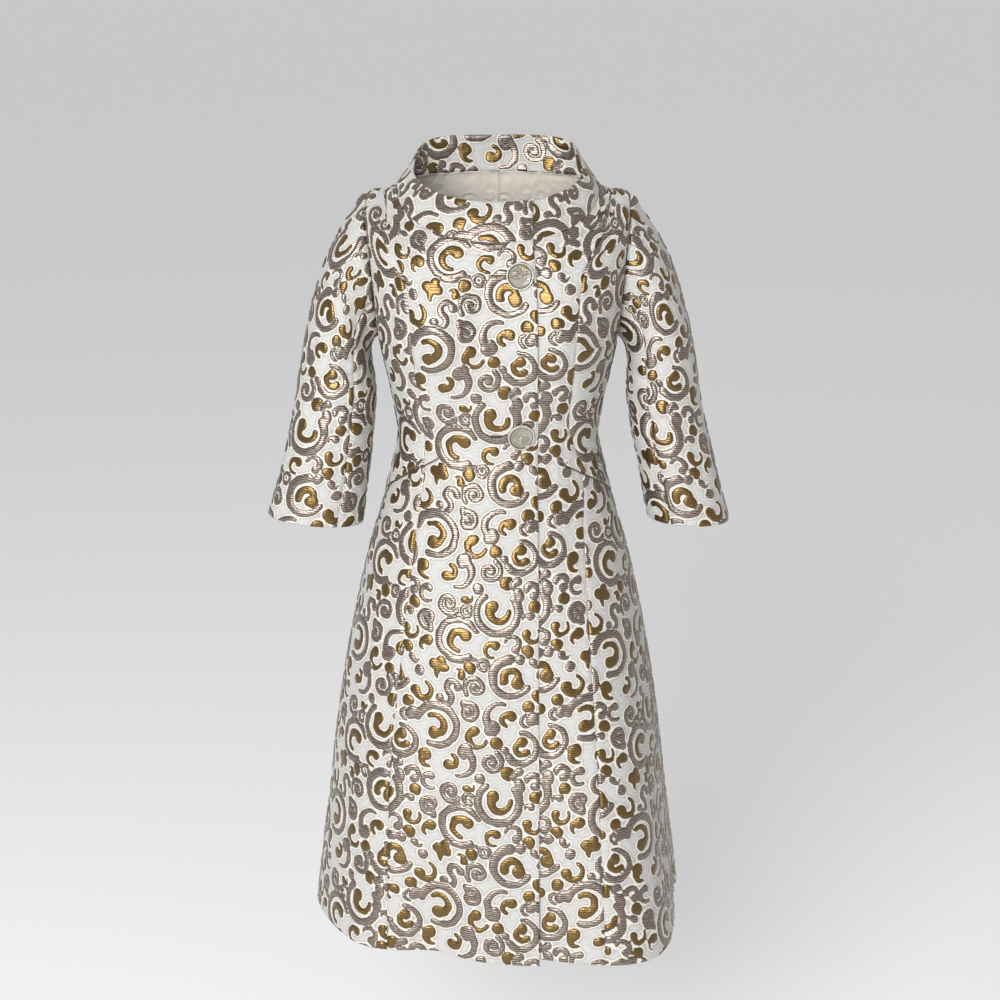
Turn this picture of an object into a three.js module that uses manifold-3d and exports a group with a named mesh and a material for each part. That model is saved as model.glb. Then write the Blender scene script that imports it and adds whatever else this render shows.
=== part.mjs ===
// A brocade coat in its worn, open form: shell panels, set-in sleeves, a stand-away collar
// and two clear buttons.
// Millimetres, +Z up, +Y to the back. The wearer's left is +X. The origin lies between the shoulders.
import * as THREE from "three";
import { mergeVertices } from "three/addons/utils/BufferGeometryUtils.js";
import Module from "manifold-3d";

const wasm = await Module();
wasm.setup();

const wall = 2.0;
const seamHalf = 0.15;
const seamGap = 0.3;
const quarter = Math.PI / 2;
const degree = Math.PI / 180;

// One row for each level of the body, from the neckline down to the hem.
// seamRight and seamLeft are the distances of the front seams from the middle.
const sections = [
  { level: "neckline", halfWidth: 138, frontDepth: 112, backDepth: 88, sideZ: -2, frontZ: -64, backZ: 8, square: 2.15, seamRight: 151, seamLeft: 151, closing: 46 },
  { level: "seam top", halfWidth: 151, frontDepth: 117, backDepth: 95, sideZ: -6, frontZ: -82, backZ: -22, square: 2.35, seamRight: 151, seamLeft: 151, closing: 47 },
  { level: "shoulder tip", halfWidth: 178, frontDepth: 120, backDepth: 101, sideZ: -13, frontZ: -100, backZ: -55, square: 2.6, seamRight: 140, seamLeft: 122, closing: 49 },
  { level: "upper armhole", halfWidth: 180, frontDepth: 124, backDepth: 106, sideZ: -55, frontZ: -128, backZ: -100, square: 2.75, seamRight: 124, seamLeft: 111, closing: 51 },
  { level: "middle armhole", halfWidth: 174, frontDepth: 128, backDepth: 109, sideZ: -125, frontZ: -165, backZ: -150, square: 2.75, seamRight: 118, seamLeft: 107, closing: 52 },
  { level: "underarm", halfWidth: 165, frontDepth: 131, backDepth: 109, sideZ: -208, frontZ: -208, backZ: -208, square: 2.6, seamRight: 115, seamLeft: 104, closing: 53 },
  { level: "ribs", halfWidth: 154, frontDepth: 124, backDepth: 105, sideZ: -259, frontZ: -259, backZ: -259, square: 2.4, seamRight: 110, seamLeft: 101, closing: 53 },
  { level: "high waist", halfWidth: 143.5, frontDepth: 114, backDepth: 98, sideZ: -316, frontZ: -316, backZ: -316, square: 2.3, seamRight: 103, seamLeft: 97, closing: 54 },
  { level: "waist", halfWidth: 141, frontDepth: 110, backDepth: 95, sideZ: -350, frontZ: -350, backZ: -350, square: 2.25, seamRight: 101, seamLeft: 106, closing: 54 },
  { level: "high hip", halfWidth: 153, frontDepth: 118, backDepth: 108, sideZ: -404, frontZ: -404, backZ: -404, square: 2.2, seamRight: 105, seamLeft: 119, closing: 54 },
  { level: "hip", halfWidth: 169, frontDepth: 132, backDepth: 124, sideZ: -463, frontZ: -463, backZ: -463, square: 2.2, seamRight: 113, seamLeft: 118, closing: 55 },
  { level: "seat", halfWidth: 186.5, frontDepth: 146, backDepth: 138, sideZ: -523, frontZ: -523, backZ: -523, square: 2.2, seamRight: 121, seamLeft: 119, closing: 55 },
  { level: "thigh", halfWidth: 214, frontDepth: 167, backDepth: 158, sideZ: -646, frontZ: -646, backZ: -646, square: 2.2, seamRight: 135, seamLeft: 121, closing: 55 },
  { level: "above knee", halfWidth: 235, frontDepth: 184, backDepth: 172, sideZ: -772, frontZ: -772, backZ: -772, square: 2.2, seamRight: 147, seamLeft: 124, closing: 56 },
  { level: "knee", halfWidth: 252, frontDepth: 200, backDepth: 184, sideZ: -902, frontZ: -902, backZ: -902, square: 2.2, seamRight: 152, seamLeft: 126, closing: 56 },
  { level: "hem", halfWidth: 274, frontDepth: 216, backDepth: 200, sideZ: -1060, frontZ: -1060, backZ: -1060, square: 2.2, seamRight: 155, seamLeft: 128, closing: 57 },
];
const seamTopRow = 1;
const tipRow = 2;
const underarmRow = 5;
const hemRow = sections.length - 1;
const hemZ = sections[hemRow].sideZ;

// Soft folds of the skirt: the direction from the front, how far the cloth stands out at the hem,
// the half-width of the fold as an angle, and the height where it begins.
const folds = [
  { direction: 44, out: 58, spread: 19, startZ: -430 },
  { direction: 84, out: -10, spread: 13, startZ: -560 },
  { direction: 104, out: 9, spread: 14, startZ: -480 },
  { direction: 146, out: 26, spread: 16, startZ: -450 },
  { direction: 180, out: -8, spread: 14, startZ: -520 },
  { direction: 214, out: 24, spread: 16, startZ: -450 },
  { direction: 252, out: -6, spread: 14, startZ: -560 },
  { direction: 312, out: 12, spread: 13, startZ: -520 },
  { direction: 334, out: -16, spread: 11, startZ: -600 },
];

// The cloth over the bust, on both sides of the middle.
const bust = { x: 87, z: -180, out: 15, wide: 46, high: 62 };

const frontArmhole = 17 * degree;
const backArmhole = 25 * degree;
const armholeSteps = 12;

function column(rows, name, at) {
  const last = rows.length - 1;
  const clamped = Math.min(Math.max(at, 0), last);
  const index = Math.min(Math.floor(clamped), last - 1);
  const f = clamped - index;
  const value = (k) => rows[Math.min(Math.max(k, 0), last)][name];
  const a = value(index);
  const b = value(index + 1);
  const slopeA = index > 0 ? (b - value(index - 1)) / 2 : b - a;
  const slopeB = index < last - 1 ? (value(index + 2) - a) / 2 : b - a;
  const f2 = f * f;
  const f3 = f2 * f;
  return (2 * f3 - 3 * f2 + 1) * a + (f3 - 2 * f2 + f) * slopeA + (3 * f2 - 2 * f3) * b + (f3 - f2) * slopeB;
}

function smooth(edgeLow, edgeHigh, value) {
  const f = Math.min(Math.max((value - edgeLow) / (edgeHigh - edgeLow), 0), 1);
  return f * f * (3 - 2 * f);
}

function turnBetween(a, b) {
  let turn = (a - b) % (4 * quarter);
  if (turn > 2 * quarter) turn -= 4 * quarter;
  if (turn < -2 * quarter) turn += 4 * quarter;
  return turn;
}

// Reach of a rounded ring in the plan direction turn, where 0 is the front and a quarter is +X.
function ringReach(turn, halfWidth, depth, square) {
  const across = Math.abs(Math.sin(turn)) / halfWidth;
  const along = Math.abs(Math.cos(turn)) / depth;
  return (across ** square + along ** square) ** (-1 / square);
}

// A point of the outer face of the body cloth.
function bodyPoint(turn, at) {
  const forward = Math.cos(turn);
  const depth = column(sections, forward > 0 ? "frontDepth" : "backDepth", at);
  let reach = ringReach(turn, column(sections, "halfWidth", at), depth, column(sections, "square", at));
  const sideZ = column(sections, "sideZ", at);
  const edgeZ = column(sections, forward > 0 ? "frontZ" : "backZ", at);
  const z = sideZ + (edgeZ - sideZ) * Math.min(Math.abs(reach * forward) / depth, 1);
  for (const fold of folds) {
    const grown = Math.min(Math.max((fold.startZ - z) / (fold.startZ - hemZ), 0), 1);
    const away = turnBetween(turn, fold.direction * degree) / (fold.spread * degree);
    reach += fold.out * grown ** 1.4 * Math.exp(-away * away);
  }
  const x = reach * Math.sin(turn);
  let y = -reach * forward;
  if (forward > 0) {
    const aside = (Math.abs(x) - bust.x) / bust.wide;
    const above = (z - bust.z) / bust.high;
    y -= bust.out * Math.exp(-aside * aside - above * above);
  }
  return new THREE.Vector3(x, y, z);
}

// The plan direction of a point of the front ring at a distance x from the middle.
function turnAtX(x, at) {
  const halfWidth = column(sections, "halfWidth", at);
  const depth = column(sections, "frontDepth", at);
  const square = column(sections, "square", at);
  const share = Math.min(Math.abs(x) / halfWidth, 1);
  const y = depth * (1 - share ** square) ** (1 / square);
  return Math.sign(x) * Math.atan2(Math.abs(x), y);
}

// The row position where the front cloth at a distance x reaches a height.
function rowAtZ(x, z) {
  let low = 0;
  let high = hemRow;
  for (let step = 0; step < 40; step += 1) {
    const middle = (low + high) / 2;
    if (bodyPoint(turnAtX(x, middle), middle).z > z) low = middle;
    else high = middle;
  }
  return (low + high) / 2;
}

function normalOf(surface, a, b) {
  const small = 0.002;
  const across = surface(a + small, b).sub(surface(a - small, b));
  const along = surface(a, b + small).sub(surface(a, b - small));
  return along.cross(across).normalize();
}

// Armhole angle at a place round the opening: 0 at the shoulder tip, a quarter at the front.
function armholePlace(place) {
  const at = tipRow + ((underarmRow - tipRow) * (1 - Math.cos(place))) / 2;
  const front = Math.sin(place) > 0;
  const turn = quarter - (front ? frontArmhole : backArmhole) * Math.sin(place);
  return { turn, at };
}

// A closed wall between two grids of points, rows first.
function wallSolid(outer, inner) {
  const rows = outer.length;
  const columns = outer[0].length;
  const points = [...outer.flat(), ...inner.flat()];
  const faces = [];
  const outside = (r, c) => r * columns + c;
  const inside = (r, c) => rows * columns + r * columns + c;
  const quad = (a, b, c, d) => faces.push(a, b, c, a, c, d);
  for (let r = 0; r < rows - 1; r += 1) {
    for (let c = 0; c < columns - 1; c += 1) {
      quad(outside(r, c), outside(r + 1, c), outside(r + 1, c + 1), outside(r, c + 1));
      quad(inside(r, c), inside(r, c + 1), inside(r + 1, c + 1), inside(r + 1, c));
    }
    quad(outside(r, 0), inside(r, 0), inside(r + 1, 0), outside(r + 1, 0));
    quad(outside(r + 1, columns - 1), inside(r + 1, columns - 1), inside(r, columns - 1), outside(r, columns - 1));
  }
  for (let c = 0; c < columns - 1; c += 1) {
    quad(outside(0, c + 1), inside(0, c + 1), inside(0, c), outside(0, c));
    quad(outside(rows - 1, c), inside(rows - 1, c), inside(rows - 1, c + 1), outside(rows - 1, c + 1));
  }
  return solidFrom(points, faces);
}

function solidFrom(points, faces) {
  const raw = new THREE.BufferGeometry();
  raw.setAttribute("position", new THREE.Float32BufferAttribute(points.flatMap((p) => [p.x, p.y, p.z]), 3));
  raw.setIndex(faces);
  return manifoldFrom(raw);
}

function manifoldFrom(geometry) {
  const bare = new THREE.BufferGeometry();
  bare.setAttribute("position", geometry.getAttribute("position"));
  bare.setIndex(geometry.index);
  const merged = mergeVertices(bare, 1e-4);
  const order = Array.from(merged.index.array);
  const kept = [];
  for (let i = 0; i < order.length; i += 3) {
    const [a, b, c] = order.slice(i, i + 3);
    if (a !== b && b !== c && c !== a) kept.push(a, b, c);
  }
  const build = (triangles) =>
    new wasm.Manifold(
      new wasm.Mesh({ numProp: 3, vertProperties: merged.attributes.position.array, triVerts: new Uint32Array(triangles) }),
    );
  const made = build(kept);
  if (made.volume() > 0) return made;
  const turned = [];
  for (let i = 0; i < kept.length; i += 3) turned.push(kept[i], kept[i + 2], kept[i + 1]);
  return build(turned);
}

function geometryOf(solid) {
  const mesh = solid.getMesh();
  const flat = [];
  for (let i = 0; i < mesh.vertProperties.length; i += mesh.numProp) {
    flat.push(mesh.vertProperties[i], mesh.vertProperties[i + 1], mesh.vertProperties[i + 2]);
  }
  const geometry = new THREE.BufferGeometry();
  geometry.setAttribute("position", new THREE.Float32BufferAttribute(flat, 3));
  geometry.setIndex(Array.from(mesh.triVerts));
  geometry.computeVertexNormals();
  return geometry;
}

// A wall cut from a surface: rowsAt lists row positions from 0 to 1, place gives turn and row position.
function panel(surface, place, rowsAt, columns, sink = () => 0, pulled = () => new THREE.Vector3()) {
  const outer = [];
  const inner = [];
  for (const r of rowsAt) {
    const outerRow = [];
    const innerRow = [];
    for (let c = 0; c <= columns; c += 1) {
      const { turn, at, seam = turn } = place(c / columns, r);
      const point = surface(turn, at);
      const normal = normalOf(surface, seam, at);
      const low = sink(point, turn, at);
      const shift = pulled(point, turn, at);
      outerRow.push(point.clone().addScaledVector(normal, -low).add(shift));
      innerRow.push(point.clone().addScaledVector(normal, -low - wall).add(shift));
    }
    outer.push(outerRow);
    inner.push(innerRow);
  }
  return wallSolid(outer, inner);
}

// Angle that takes up half a seam gap on the body at a row.
function seamTurn(turn, at) {
  const step = 0.002;
  const length = bodyPoint(turn + step, at).distanceTo(bodyPoint(turn - step, at)) / (2 * step);
  return seamHalf / length;
}

const armRows = Array.from({ length: armholeSteps + 1 }, (_, k) => armholePlace((Math.PI * k) / armholeSteps).at);
const shoulderRows = [0, 0.5, 1, 1.1, 1.34, 1.67];
const backRows = [...shoulderRows, ...armRows, ...Array.from({ length: 20 }, (_, k) => underarmRow + 0.5 * (k + 1))];

function armholeTurn(at, front) {
  const share = (at - tipRow) / (underarmRow - tipRow);
  if (share <= 0 || share >= 1) return 0;
  const sine = Math.sqrt(Math.max(1 - (1 - 2 * share) ** 2, 0));
  return (front ? frontArmhole : backArmhole) * sine;
}

// Plan direction of a front seam; side is 1 for the wearer's left and -1 for the right.
function frontSeamTurn(side, at) {
  if (at <= seamTopRow) return side * quarter;
  const x = column(sections, side > 0 ? "seamLeft" : "seamRight", at);
  return turnAtX(side * x, at);
}

const underlap = { width: 48, sink: 2.8, near: 6, far: 30 };
const cornerDrop = { depth: 8, forward: 2.2, fromX: -90, toX: 40, fromRow: 12, toRow: 15 };

// The front on top hangs a little lower towards its free corner.
function dropCorner(point, turn, at) {
  const across = smooth(cornerDrop.fromX, cornerDrop.toX, point.x);
  const down = smooth(cornerDrop.fromRow, cornerDrop.toRow, at);
  return new THREE.Vector3(0, -cornerDrop.forward, -cornerDrop.depth).multiplyScalar(across * down);
}

function frontPlace(side) {
  return (c, at) => {
    const closing = column(sections, "closing", at);
    const free = side < 0 ? turnAtX(closing, at) : turnAtX(closing - underlap.width, at);
    const seam = frontSeamTurn(side, at);
    const sewn = seam - side * seamTurn(seam, at);
    return { turn: sewn + (free - sewn) * c, at, seam: c === 0 ? seam : undefined };
  };
}

function sinkUnderlap(point, turn, at) {
  const closing = column(sections, "closing", at);
  return underlap.sink * (1 - smooth(closing + underlap.near, closing + underlap.far, point.x));
}

// The pocket slit: height at the front seam, slope along the turn, and its reach into the front.
const pockets = {
  right: { z: -363, slope: -62, gap: 1.0, reach: 25, sink: 1.4 },
  left: { z: -385, slope: -40, gap: 1.0, reach: 28, sink: 1.4 },
};

// Row position of the pocket line at a plan direction.
function pocketRow(side, turn) {
  const pocket = side > 0 ? pockets.left : pockets.right;
  const seam = Math.abs(frontSeamTurn(side, 8.3));
  const z = pocket.z + pocket.slope * (Math.abs(turn) - seam);
  return rowAtZ(0, z);
}

// Rows of a front from the underarm to the hem; they meet the pocket line at the seam.
const plainRows = [5.5, 6, 6.5, 7, 7.5];
const pocketHalf = 0.5 / 56;
const lowRows = Array.from({ length: 11 }, (_, k) => 10 + 0.5 * k);

// Row positions down one line of the side front, above and below the pocket line.
function rowsAbovePocket(line) {
  return [...plainRows, (7.5 + line - pocketHalf) / 2, line - pocketHalf];
}

function rowsBelowPocket(line) {
  const top = line + pocketHalf;
  return [top, top + (10 - top) / 3, top + (2 * (10 - top)) / 3, ...lowRows];
}

function frontRows(side) {
  const line = pocketRow(side, frontSeamTurn(side, 8.3));
  return [...shoulderRows, ...armRows, ...rowsAbovePocket(line), ...rowsBelowPocket(line)];
}

// A strip from the front seam to the armhole or the side seam; row is the row number.
function sidePlace(side, rowsFor) {
  return (c, row) => {
    const edges = (at) => {
      const seam = frontSeamTurn(side, at);
      const near = seam + side * seamTurn(seam, at);
      const arm = armholeTurn(at, true);
      const far = side * (quarter - arm - (arm > 0 ? 0 : seamTurn(side * quarter, at)));
      return { seam, near, far: side * Math.max(side * far, side * near + 0.0005), sideSeam: arm > 0 ? far : side * quarter };
    };
    const guess = edges(8.8);
    const at = rowsFor(pocketRow(side, guess.near + (guess.far - guess.near) * c))[row];
    const { seam, near, far, sideSeam } = edges(at);
    return { turn: near + (far - near) * c, at, seam: c === 0 ? seam : c === 1 ? sideSeam : undefined };
  };
}

function sinkPocket(side) {
  const pocket = side > 0 ? pockets.left : pockets.right;
  return (point, turn, at) => pocket.sink * (1 - smooth(0, 0.6, at - pocketRow(side, turn)));
}

function backPlace(side) {
  return (c, at) => {
    const arm = armholeTurn(at, false);
    const near = quarter + arm + (arm > 0 ? 0 : seamTurn(quarter, at));
    const middle = 2 * quarter - seamTurn(2 * quarter, at);
    const edge = arm > 0 ? near : quarter;
    return { turn: side * (near + (middle - near) * c), at, seam: c === 0 ? side * edge : c === 1 ? side * 2 * quarter : undefined };
  };
}

// Collar: a band that stands away from the neck, and the same cloth turned inside it.
const collarTop = { halfWidth: 115, frontDepth: 88, backDepth: 88, middleZ: 21.5, slope: 0.41, square: 2.1, backSquare: 3.8 };
const collarCloth = 1.2;
const collarLift = 1.1;
const collarSink = { depth: 3.4, near: 6, far: 34, tuck: 30 };

function collarPoint(turn, w) {
  const base = bodyPoint(turn, 0);
  const back = Math.cos(turn) < 0;
  const squarer = (collarTop.backSquare - collarTop.square) * smooth(0, 0.6, Math.abs(Math.cos(turn)));
  const square = collarTop.square + (back ? squarer : 0);
  const reach = ringReach(turn, collarTop.halfWidth, back ? collarTop.backDepth : collarTop.frontDepth, square);
  const y = -reach * Math.cos(turn);
  const top = new THREE.Vector3(reach * Math.sin(turn), y, collarTop.middleZ + collarTop.slope * y);
  const away = base.clone().sub(bodyPoint(turn, 0.05)).normalize();
  const point = base.clone().lerp(top, w);
  const bulge = 2.5 * Math.sin(Math.PI * w);
  const flat = new THREE.Vector3(Math.sin(turn), -Math.cos(turn), 0);
  point.addScaledVector(flat, bulge);
  point.addScaledVector(away, collarLift * (1 - w));
  return point;
}

function collarFree(w, x) {
  const reachX = (turn) => collarPoint(turn, w).x;
  let low = 0;
  let high = 80 * degree;
  for (let step = 0; step < 30; step += 1) {
    const middle = (low + high) / 2;
    if (reachX(middle) < x) low = middle;
    else high = middle;
  }
  return low;
}

function collarBand(outerSink, innerSink, columns) {
  const rows = 5;
  const outer = [];
  const inner = [];
  for (let r = 0; r <= rows; r += 1) {
    const w = r / rows;
    const closing = sections[0].closing;
    const start = collarFree(w, closing - collarSink.tuck);
    const end = 4 * quarter + collarFree(w, closing);
    const outerRow = [];
    const innerRow = [];
    for (let c = 0; c <= columns; c += 1) {
      const f = c / columns;
      const turn = start + (end - start) * f;
      const point = collarPoint(turn, w);
      const normal = normalOf(collarPoint, turn, w).multiplyScalar(-1);
      const under = turn < quarter ? 1 - smooth(closing + collarSink.near, closing + collarSink.far, point.x) : 0;
      const low = collarSink.depth * under;
      outerRow.push(point.clone().addScaledVector(normal, -low - outerSink));
      innerRow.push(point.clone().addScaledVector(normal, -low - innerSink));
    }
    outer.push(outerRow);
    inner.push(innerRow);
  }
  return wallSolid(outer, inner);
}

// Sleeve sections below the underarm. The right sleeve hangs a little flatter than the left.
const sleeveSections = [
  { level: "upper arm", z: -300, centreLeft: 233, halfLeft: 52, centreRight: 228, halfRight: 56.5, centreY: 0, halfDepth: 58 },
  { level: "elbow", z: -350, centreLeft: 243, halfLeft: 54, centreRight: 235, halfRight: 59, centreY: -3, halfDepth: 56 },
  { level: "forearm", z: -408, centreLeft: 256.5, halfLeft: 55, centreRight: 246, halfRight: 62.5, centreY: -7, halfDepth: 52 },
  { level: "cuff", z: -470, centreLeft: 271, halfLeft: 57.5, centreRight: 259.5, halfRight: 67.5, centreY: -12, halfDepth: 48 },
];
const cuffTilt = { left: -2, right: 6.5 };
const capTop = new THREE.Vector3(0.72, 0, -0.69);
const capBottom = new THREE.Vector3(0.88, 0, -0.48);
const armAxis = new THREE.Vector3(0.167, -0.05, -0.985);

function loopPoint(place) {
  const { turn, at } = armholePlace(place);
  return bodyPoint(turn, at);
}

// Where the sleeve starts, clear of the body wall, and the way it sets off.
function sleeveStart(place) {
  const { turn, at } = armholePlace(place);
  const point = bodyPoint(turn, at);
  const bodyNormal = normalOf(bodyPoint, turn, at);
  const small = 0.01;
  const along = loopPoint(place + small).sub(loopPoint(place - small)).normalize();
  const hole = bodyPoint(quarter, (tipRow + underarmRow) / 2);
  const away = bodyNormal.clone().cross(along).normalize();
  if (hole.clone().sub(point).dot(away) < 0) away.multiplyScalar(-1);
  const low = (1 - Math.cos(place)) / 2;
  const way = capTop.clone().lerp(capBottom, low);
  way.y -= 0.32 * Math.sin(place);
  way.normalize();
  const sleeveNormal = along.clone().cross(way).normalize();
  const clear = seamGap + wall * Math.max(sleeveNormal.dot(away), 0);
  return { point: point.addScaledVector(away, clear), way };
}

function sleeveRing(side, place, at) {
  const row = (name) => column(sleeveSections, name, at);
  const tilt = (side > 0 ? cuffTilt.left : cuffTilt.right) * Math.min(at / (sleeveSections.length - 1), 1);
  const across = Math.cos(place);
  return new THREE.Vector3(
    row(side > 0 ? "centreLeft" : "centreRight") + row(side > 0 ? "halfLeft" : "halfRight") * across,
    row("centreY") - row("halfDepth") * Math.sin(place),
    row("z") + tilt * across,
  );
}

// The outer face of a sleeve: a curve from the armhole to the upper arm, then the sections.
function sleevePoint(side) {
  return (place, w) => {
    if (w > 1) return sleeveRing(side, place, w - 1);
    const start = sleeveStart(place);
    const end = sleeveRing(side, place, 0);
    const length = start.point.distanceTo(end);
    const w2 = w * w;
    const w3 = w2 * w;
    return new THREE.Vector3()
      .addScaledVector(start.point, 2 * w3 - 3 * w2 + 1)
      .addScaledVector(start.way, length * (w3 - 2 * w2 + w))
      .addScaledVector(end, 3 * w2 - 2 * w3)
      .addScaledVector(armAxis, length * (w3 - w2));
  };
}

function sleevePiece(side, fromPlace, toPlace) {
  const surface = sleevePoint(side);
  const columns = Math.round((toPlace - fromPlace) / (Math.PI / armholeSteps));
  const rows = [0, 0.07, 0.16, 0.26, 0.37, 0.49, 0.62, 0.75, 0.88, 1, 1.5, 2, 2.5, 3, 3.5, 4];
  const outer = [];
  const inner = [];
  for (const w of rows) {
    const outerRow = [];
    const innerRow = [];
    for (let c = 0; c <= columns; c += 1) {
      let place = fromPlace + ((toPlace - fromPlace) * c) / columns;
      const step = 0.01;
      const length = surface(place + step, w).distanceTo(surface(place - step, w)) / (2 * step);
      if (c === 0) place += seamHalf / length;
      if (c === columns) place -= seamHalf / length;
      const point = surface(place, w);
      const acrossWay = surface(place + step, w).sub(surface(place - step, w));
      const low = w < 0.001 ? 0 : 0.002;
      const alongWay = surface(place, w + 0.002).sub(surface(place, w - low));
      const normal = acrossWay.cross(alongWay).normalize();
      outerRow.push(point.clone());
      innerRow.push(point.clone().addScaledVector(normal, -wall));
    }
    outer.push(outerRow);
    inner.push(innerRow);
  }
  const mirrored = (grid) => grid.map((row) => row.map((p) => new THREE.Vector3(side * p.x, p.y, p.z)));
  return wallSolid(mirrored(outer), mirrored(inner));
}

// Buttons: clear round discs with a raised rim and two holes, above and below.
const buttons = [
  { name: "upper", x: 29, z: -108 },
  { name: "lower", x: 31, z: -327 },
];
const button = { radius: 18, standOff: 1.5, hole: 1.1, holeSpread: 1.9, leg: 0.7, shank: 1.7, top: 2.6 };
const buttonProfile = [
  [0, 0], [14.5, 0.2], [17.2, 1.2], [18, 2.4], [17.6, 3.5], [16.5, 4.1], [15, 4.0], [13.9, 3.2], [12.8, 2.75], [0, 2.6],
];
const slit = { length: 38, height: 1.6, keyhole: 2.1, past: 0 };

// The frame of a button: origin on the cloth, then across, up and out.
function buttonFrame(spot) {
  const at = rowAtZ(spot.x, spot.z);
  const turn = turnAtX(spot.x, at);
  const origin = bodyPoint(turn, at);
  const out = normalOf(bodyPoint, turn, at);
  const across = new THREE.Vector3(0, 0, 1).cross(out).normalize();
  const up = out.clone().cross(across).normalize();
  return new THREE.Matrix4().makeBasis(across, up, out).setPosition(origin);
}

function cylinder(radius, from, to, x, frame, sides = 16) {
  const shape = new THREE.CylinderGeometry(radius, radius, to - from, sides);
  shape.rotateX(quarter);
  shape.translate(x, 0, (from + to) / 2);
  return manifoldFrom(shape.applyMatrix4(frame));
}

function buttonSolid(frame) {
  const profile = buttonProfile.map(([r, h]) => new THREE.Vector2(r, h + button.standOff));
  const disc = new THREE.LatheGeometry(profile, 36);
  disc.rotateX(quarter);
  let solid = manifoldFrom(disc.applyMatrix4(frame));
  for (const x of [-button.holeSpread, button.holeSpread]) {
    solid = solid.subtract(cylinder(button.hole, -1, 8, x, frame));
  }
  return solid;
}

function threadSolid(frame) {
  const below = -underlap.sink + seamGap;
  const back = button.standOff - seamGap;
  const over = button.standOff + button.top + seamGap;
  let solid = cylinder(button.shank, below, back, 0, frame);
  for (const x of [-button.holeSpread, button.holeSpread]) {
    solid = solid.add(cylinder(button.leg, back - 0.8, over + 0.9, x, frame, 12));
  }
  const bar = new THREE.BoxGeometry(2 * button.holeSpread, 2 * button.leg * 0.9, 0.9);
  bar.translate(0, 0, over + 0.45);
  return solid.add(manifoldFrom(bar.applyMatrix4(frame)));
}

// The buttonhole cutter: a narrow slit with a round end under the button.
function slitCutter(frame) {
  const bar = new THREE.BoxGeometry(slit.length, slit.height, 16);
  bar.translate(-slit.length / 2, 0, 0);
  return manifoldFrom(bar.applyMatrix4(frame)).add(cylinder(slit.keyhole, -8, 8, 0, frame));
}

// The pocket cutter: a thin curved strip along the pocket line, across the edge of the front.
function pocketCutter(side) {
  const pocket = side > 0 ? pockets.left : pockets.right;
  const seam = Math.abs(frontSeamTurn(side, 8.3));
  const from = seam - pocket.reach / 145;
  const to = seam + 0.06;
  const outer = [];
  const inner = [];
  const steps = 6;
  for (const half of [-0.5, 0.5]) {
    const outerRow = [];
    const innerRow = [];
    for (let c = 0; c <= steps; c += 1) {
      const turn = side * (from + ((to - from) * c) / steps);
      const at = pocketRow(side, turn) + (half * pocket.gap) / 56;
      const point = bodyPoint(turn, at);
      const normal = normalOf(bodyPoint, turn, at);
      outerRow.push(point.clone().addScaledVector(normal, 5));
      innerRow.push(point.clone().addScaledVector(normal, -7));
    }
    outer.push(outerRow);
    inner.push(innerRow);
  }
  return wallSolid(outer, inner);
}

const brocade = new THREE.MeshStandardMaterial({ color: 0xcfc6b4, roughness: 0.75, metalness: 0.0 });
const clear = new THREE.MeshStandardMaterial({ color: 0xb9b3a6, roughness: 0.12, metalness: 0.0 });
const sewing = new THREE.MeshStandardMaterial({ color: 0xe8e2d2, roughness: 0.85, metalness: 0.0 });

const coat = new THREE.Group();
coat.name = "brocade_coat";

function place(name, solid, material) {
  const mesh = new THREE.Mesh(geometryOf(solid), material);
  mesh.name = name;
  coat.add(mesh);
}

const frames = buttons.map(buttonFrame);

let frontRight = panel(bodyPoint, frontPlace(-1), frontRows(-1), 12, () => 0, dropCorner);
for (const frame of frames) frontRight = frontRight.subtract(slitCutter(frame));
place("front_right", frontRight.subtract(pocketCutter(-1)), brocade);

const frontLeft = panel(bodyPoint, frontPlace(1), frontRows(1), 9, sinkUnderlap);
place("front_left", frontLeft.subtract(pocketCutter(1)), brocade);

const topRows = [1.1, 1.34, 1.67, ...armRows];
const upperRows = (line) => [...topRows, ...rowsAbovePocket(line)];
const rowNumbers = (rows) => rows.map((_, k) => k);
for (const [name, side] of [["right", -1], ["left", 1]]) {
  const upper = panel(bodyPoint, sidePlace(side, upperRows), rowNumbers(upperRows(8)), 5);
  const lower = panel(bodyPoint, sidePlace(side, rowsBelowPocket), rowNumbers(rowsBelowPocket(8)), 6, sinkPocket(side));
  place(`side_front_upper_${name}`, upper, brocade);
  place(`side_front_lower_${name}`, lower, brocade);
  place(`back_${name}`, panel(bodyPoint, backPlace(side), backRows, 10), brocade);
  place(`sleeve_upper_${name}`, sleevePiece(side, -120 * degree, 120 * degree), brocade);
  place(`sleeve_under_${name}`, sleevePiece(side, 120 * degree, 240 * degree), brocade);
}

place("collar", collarBand(0, collarCloth, 44), brocade);
place("collar_facing", collarBand(collarCloth + seamGap, 2 * collarCloth + seamGap, 44), brocade);

buttons.forEach((spot, index) => {
  place(`button_${spot.name}`, buttonSolid(frames[index]), clear);
  place(`button_thread_${spot.name}`, threadSolid(frames[index]), sewing);
});

export default coat;
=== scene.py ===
# The brocade coat: cloth panels with a raised scroll weave, clear buttons, thread and stitching.
# The cloth follows the cut of the solids, worked out again here from the same sizes in millimetres.
import math

import bpy
import numpy as np
from mathutils import Matrix


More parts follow.
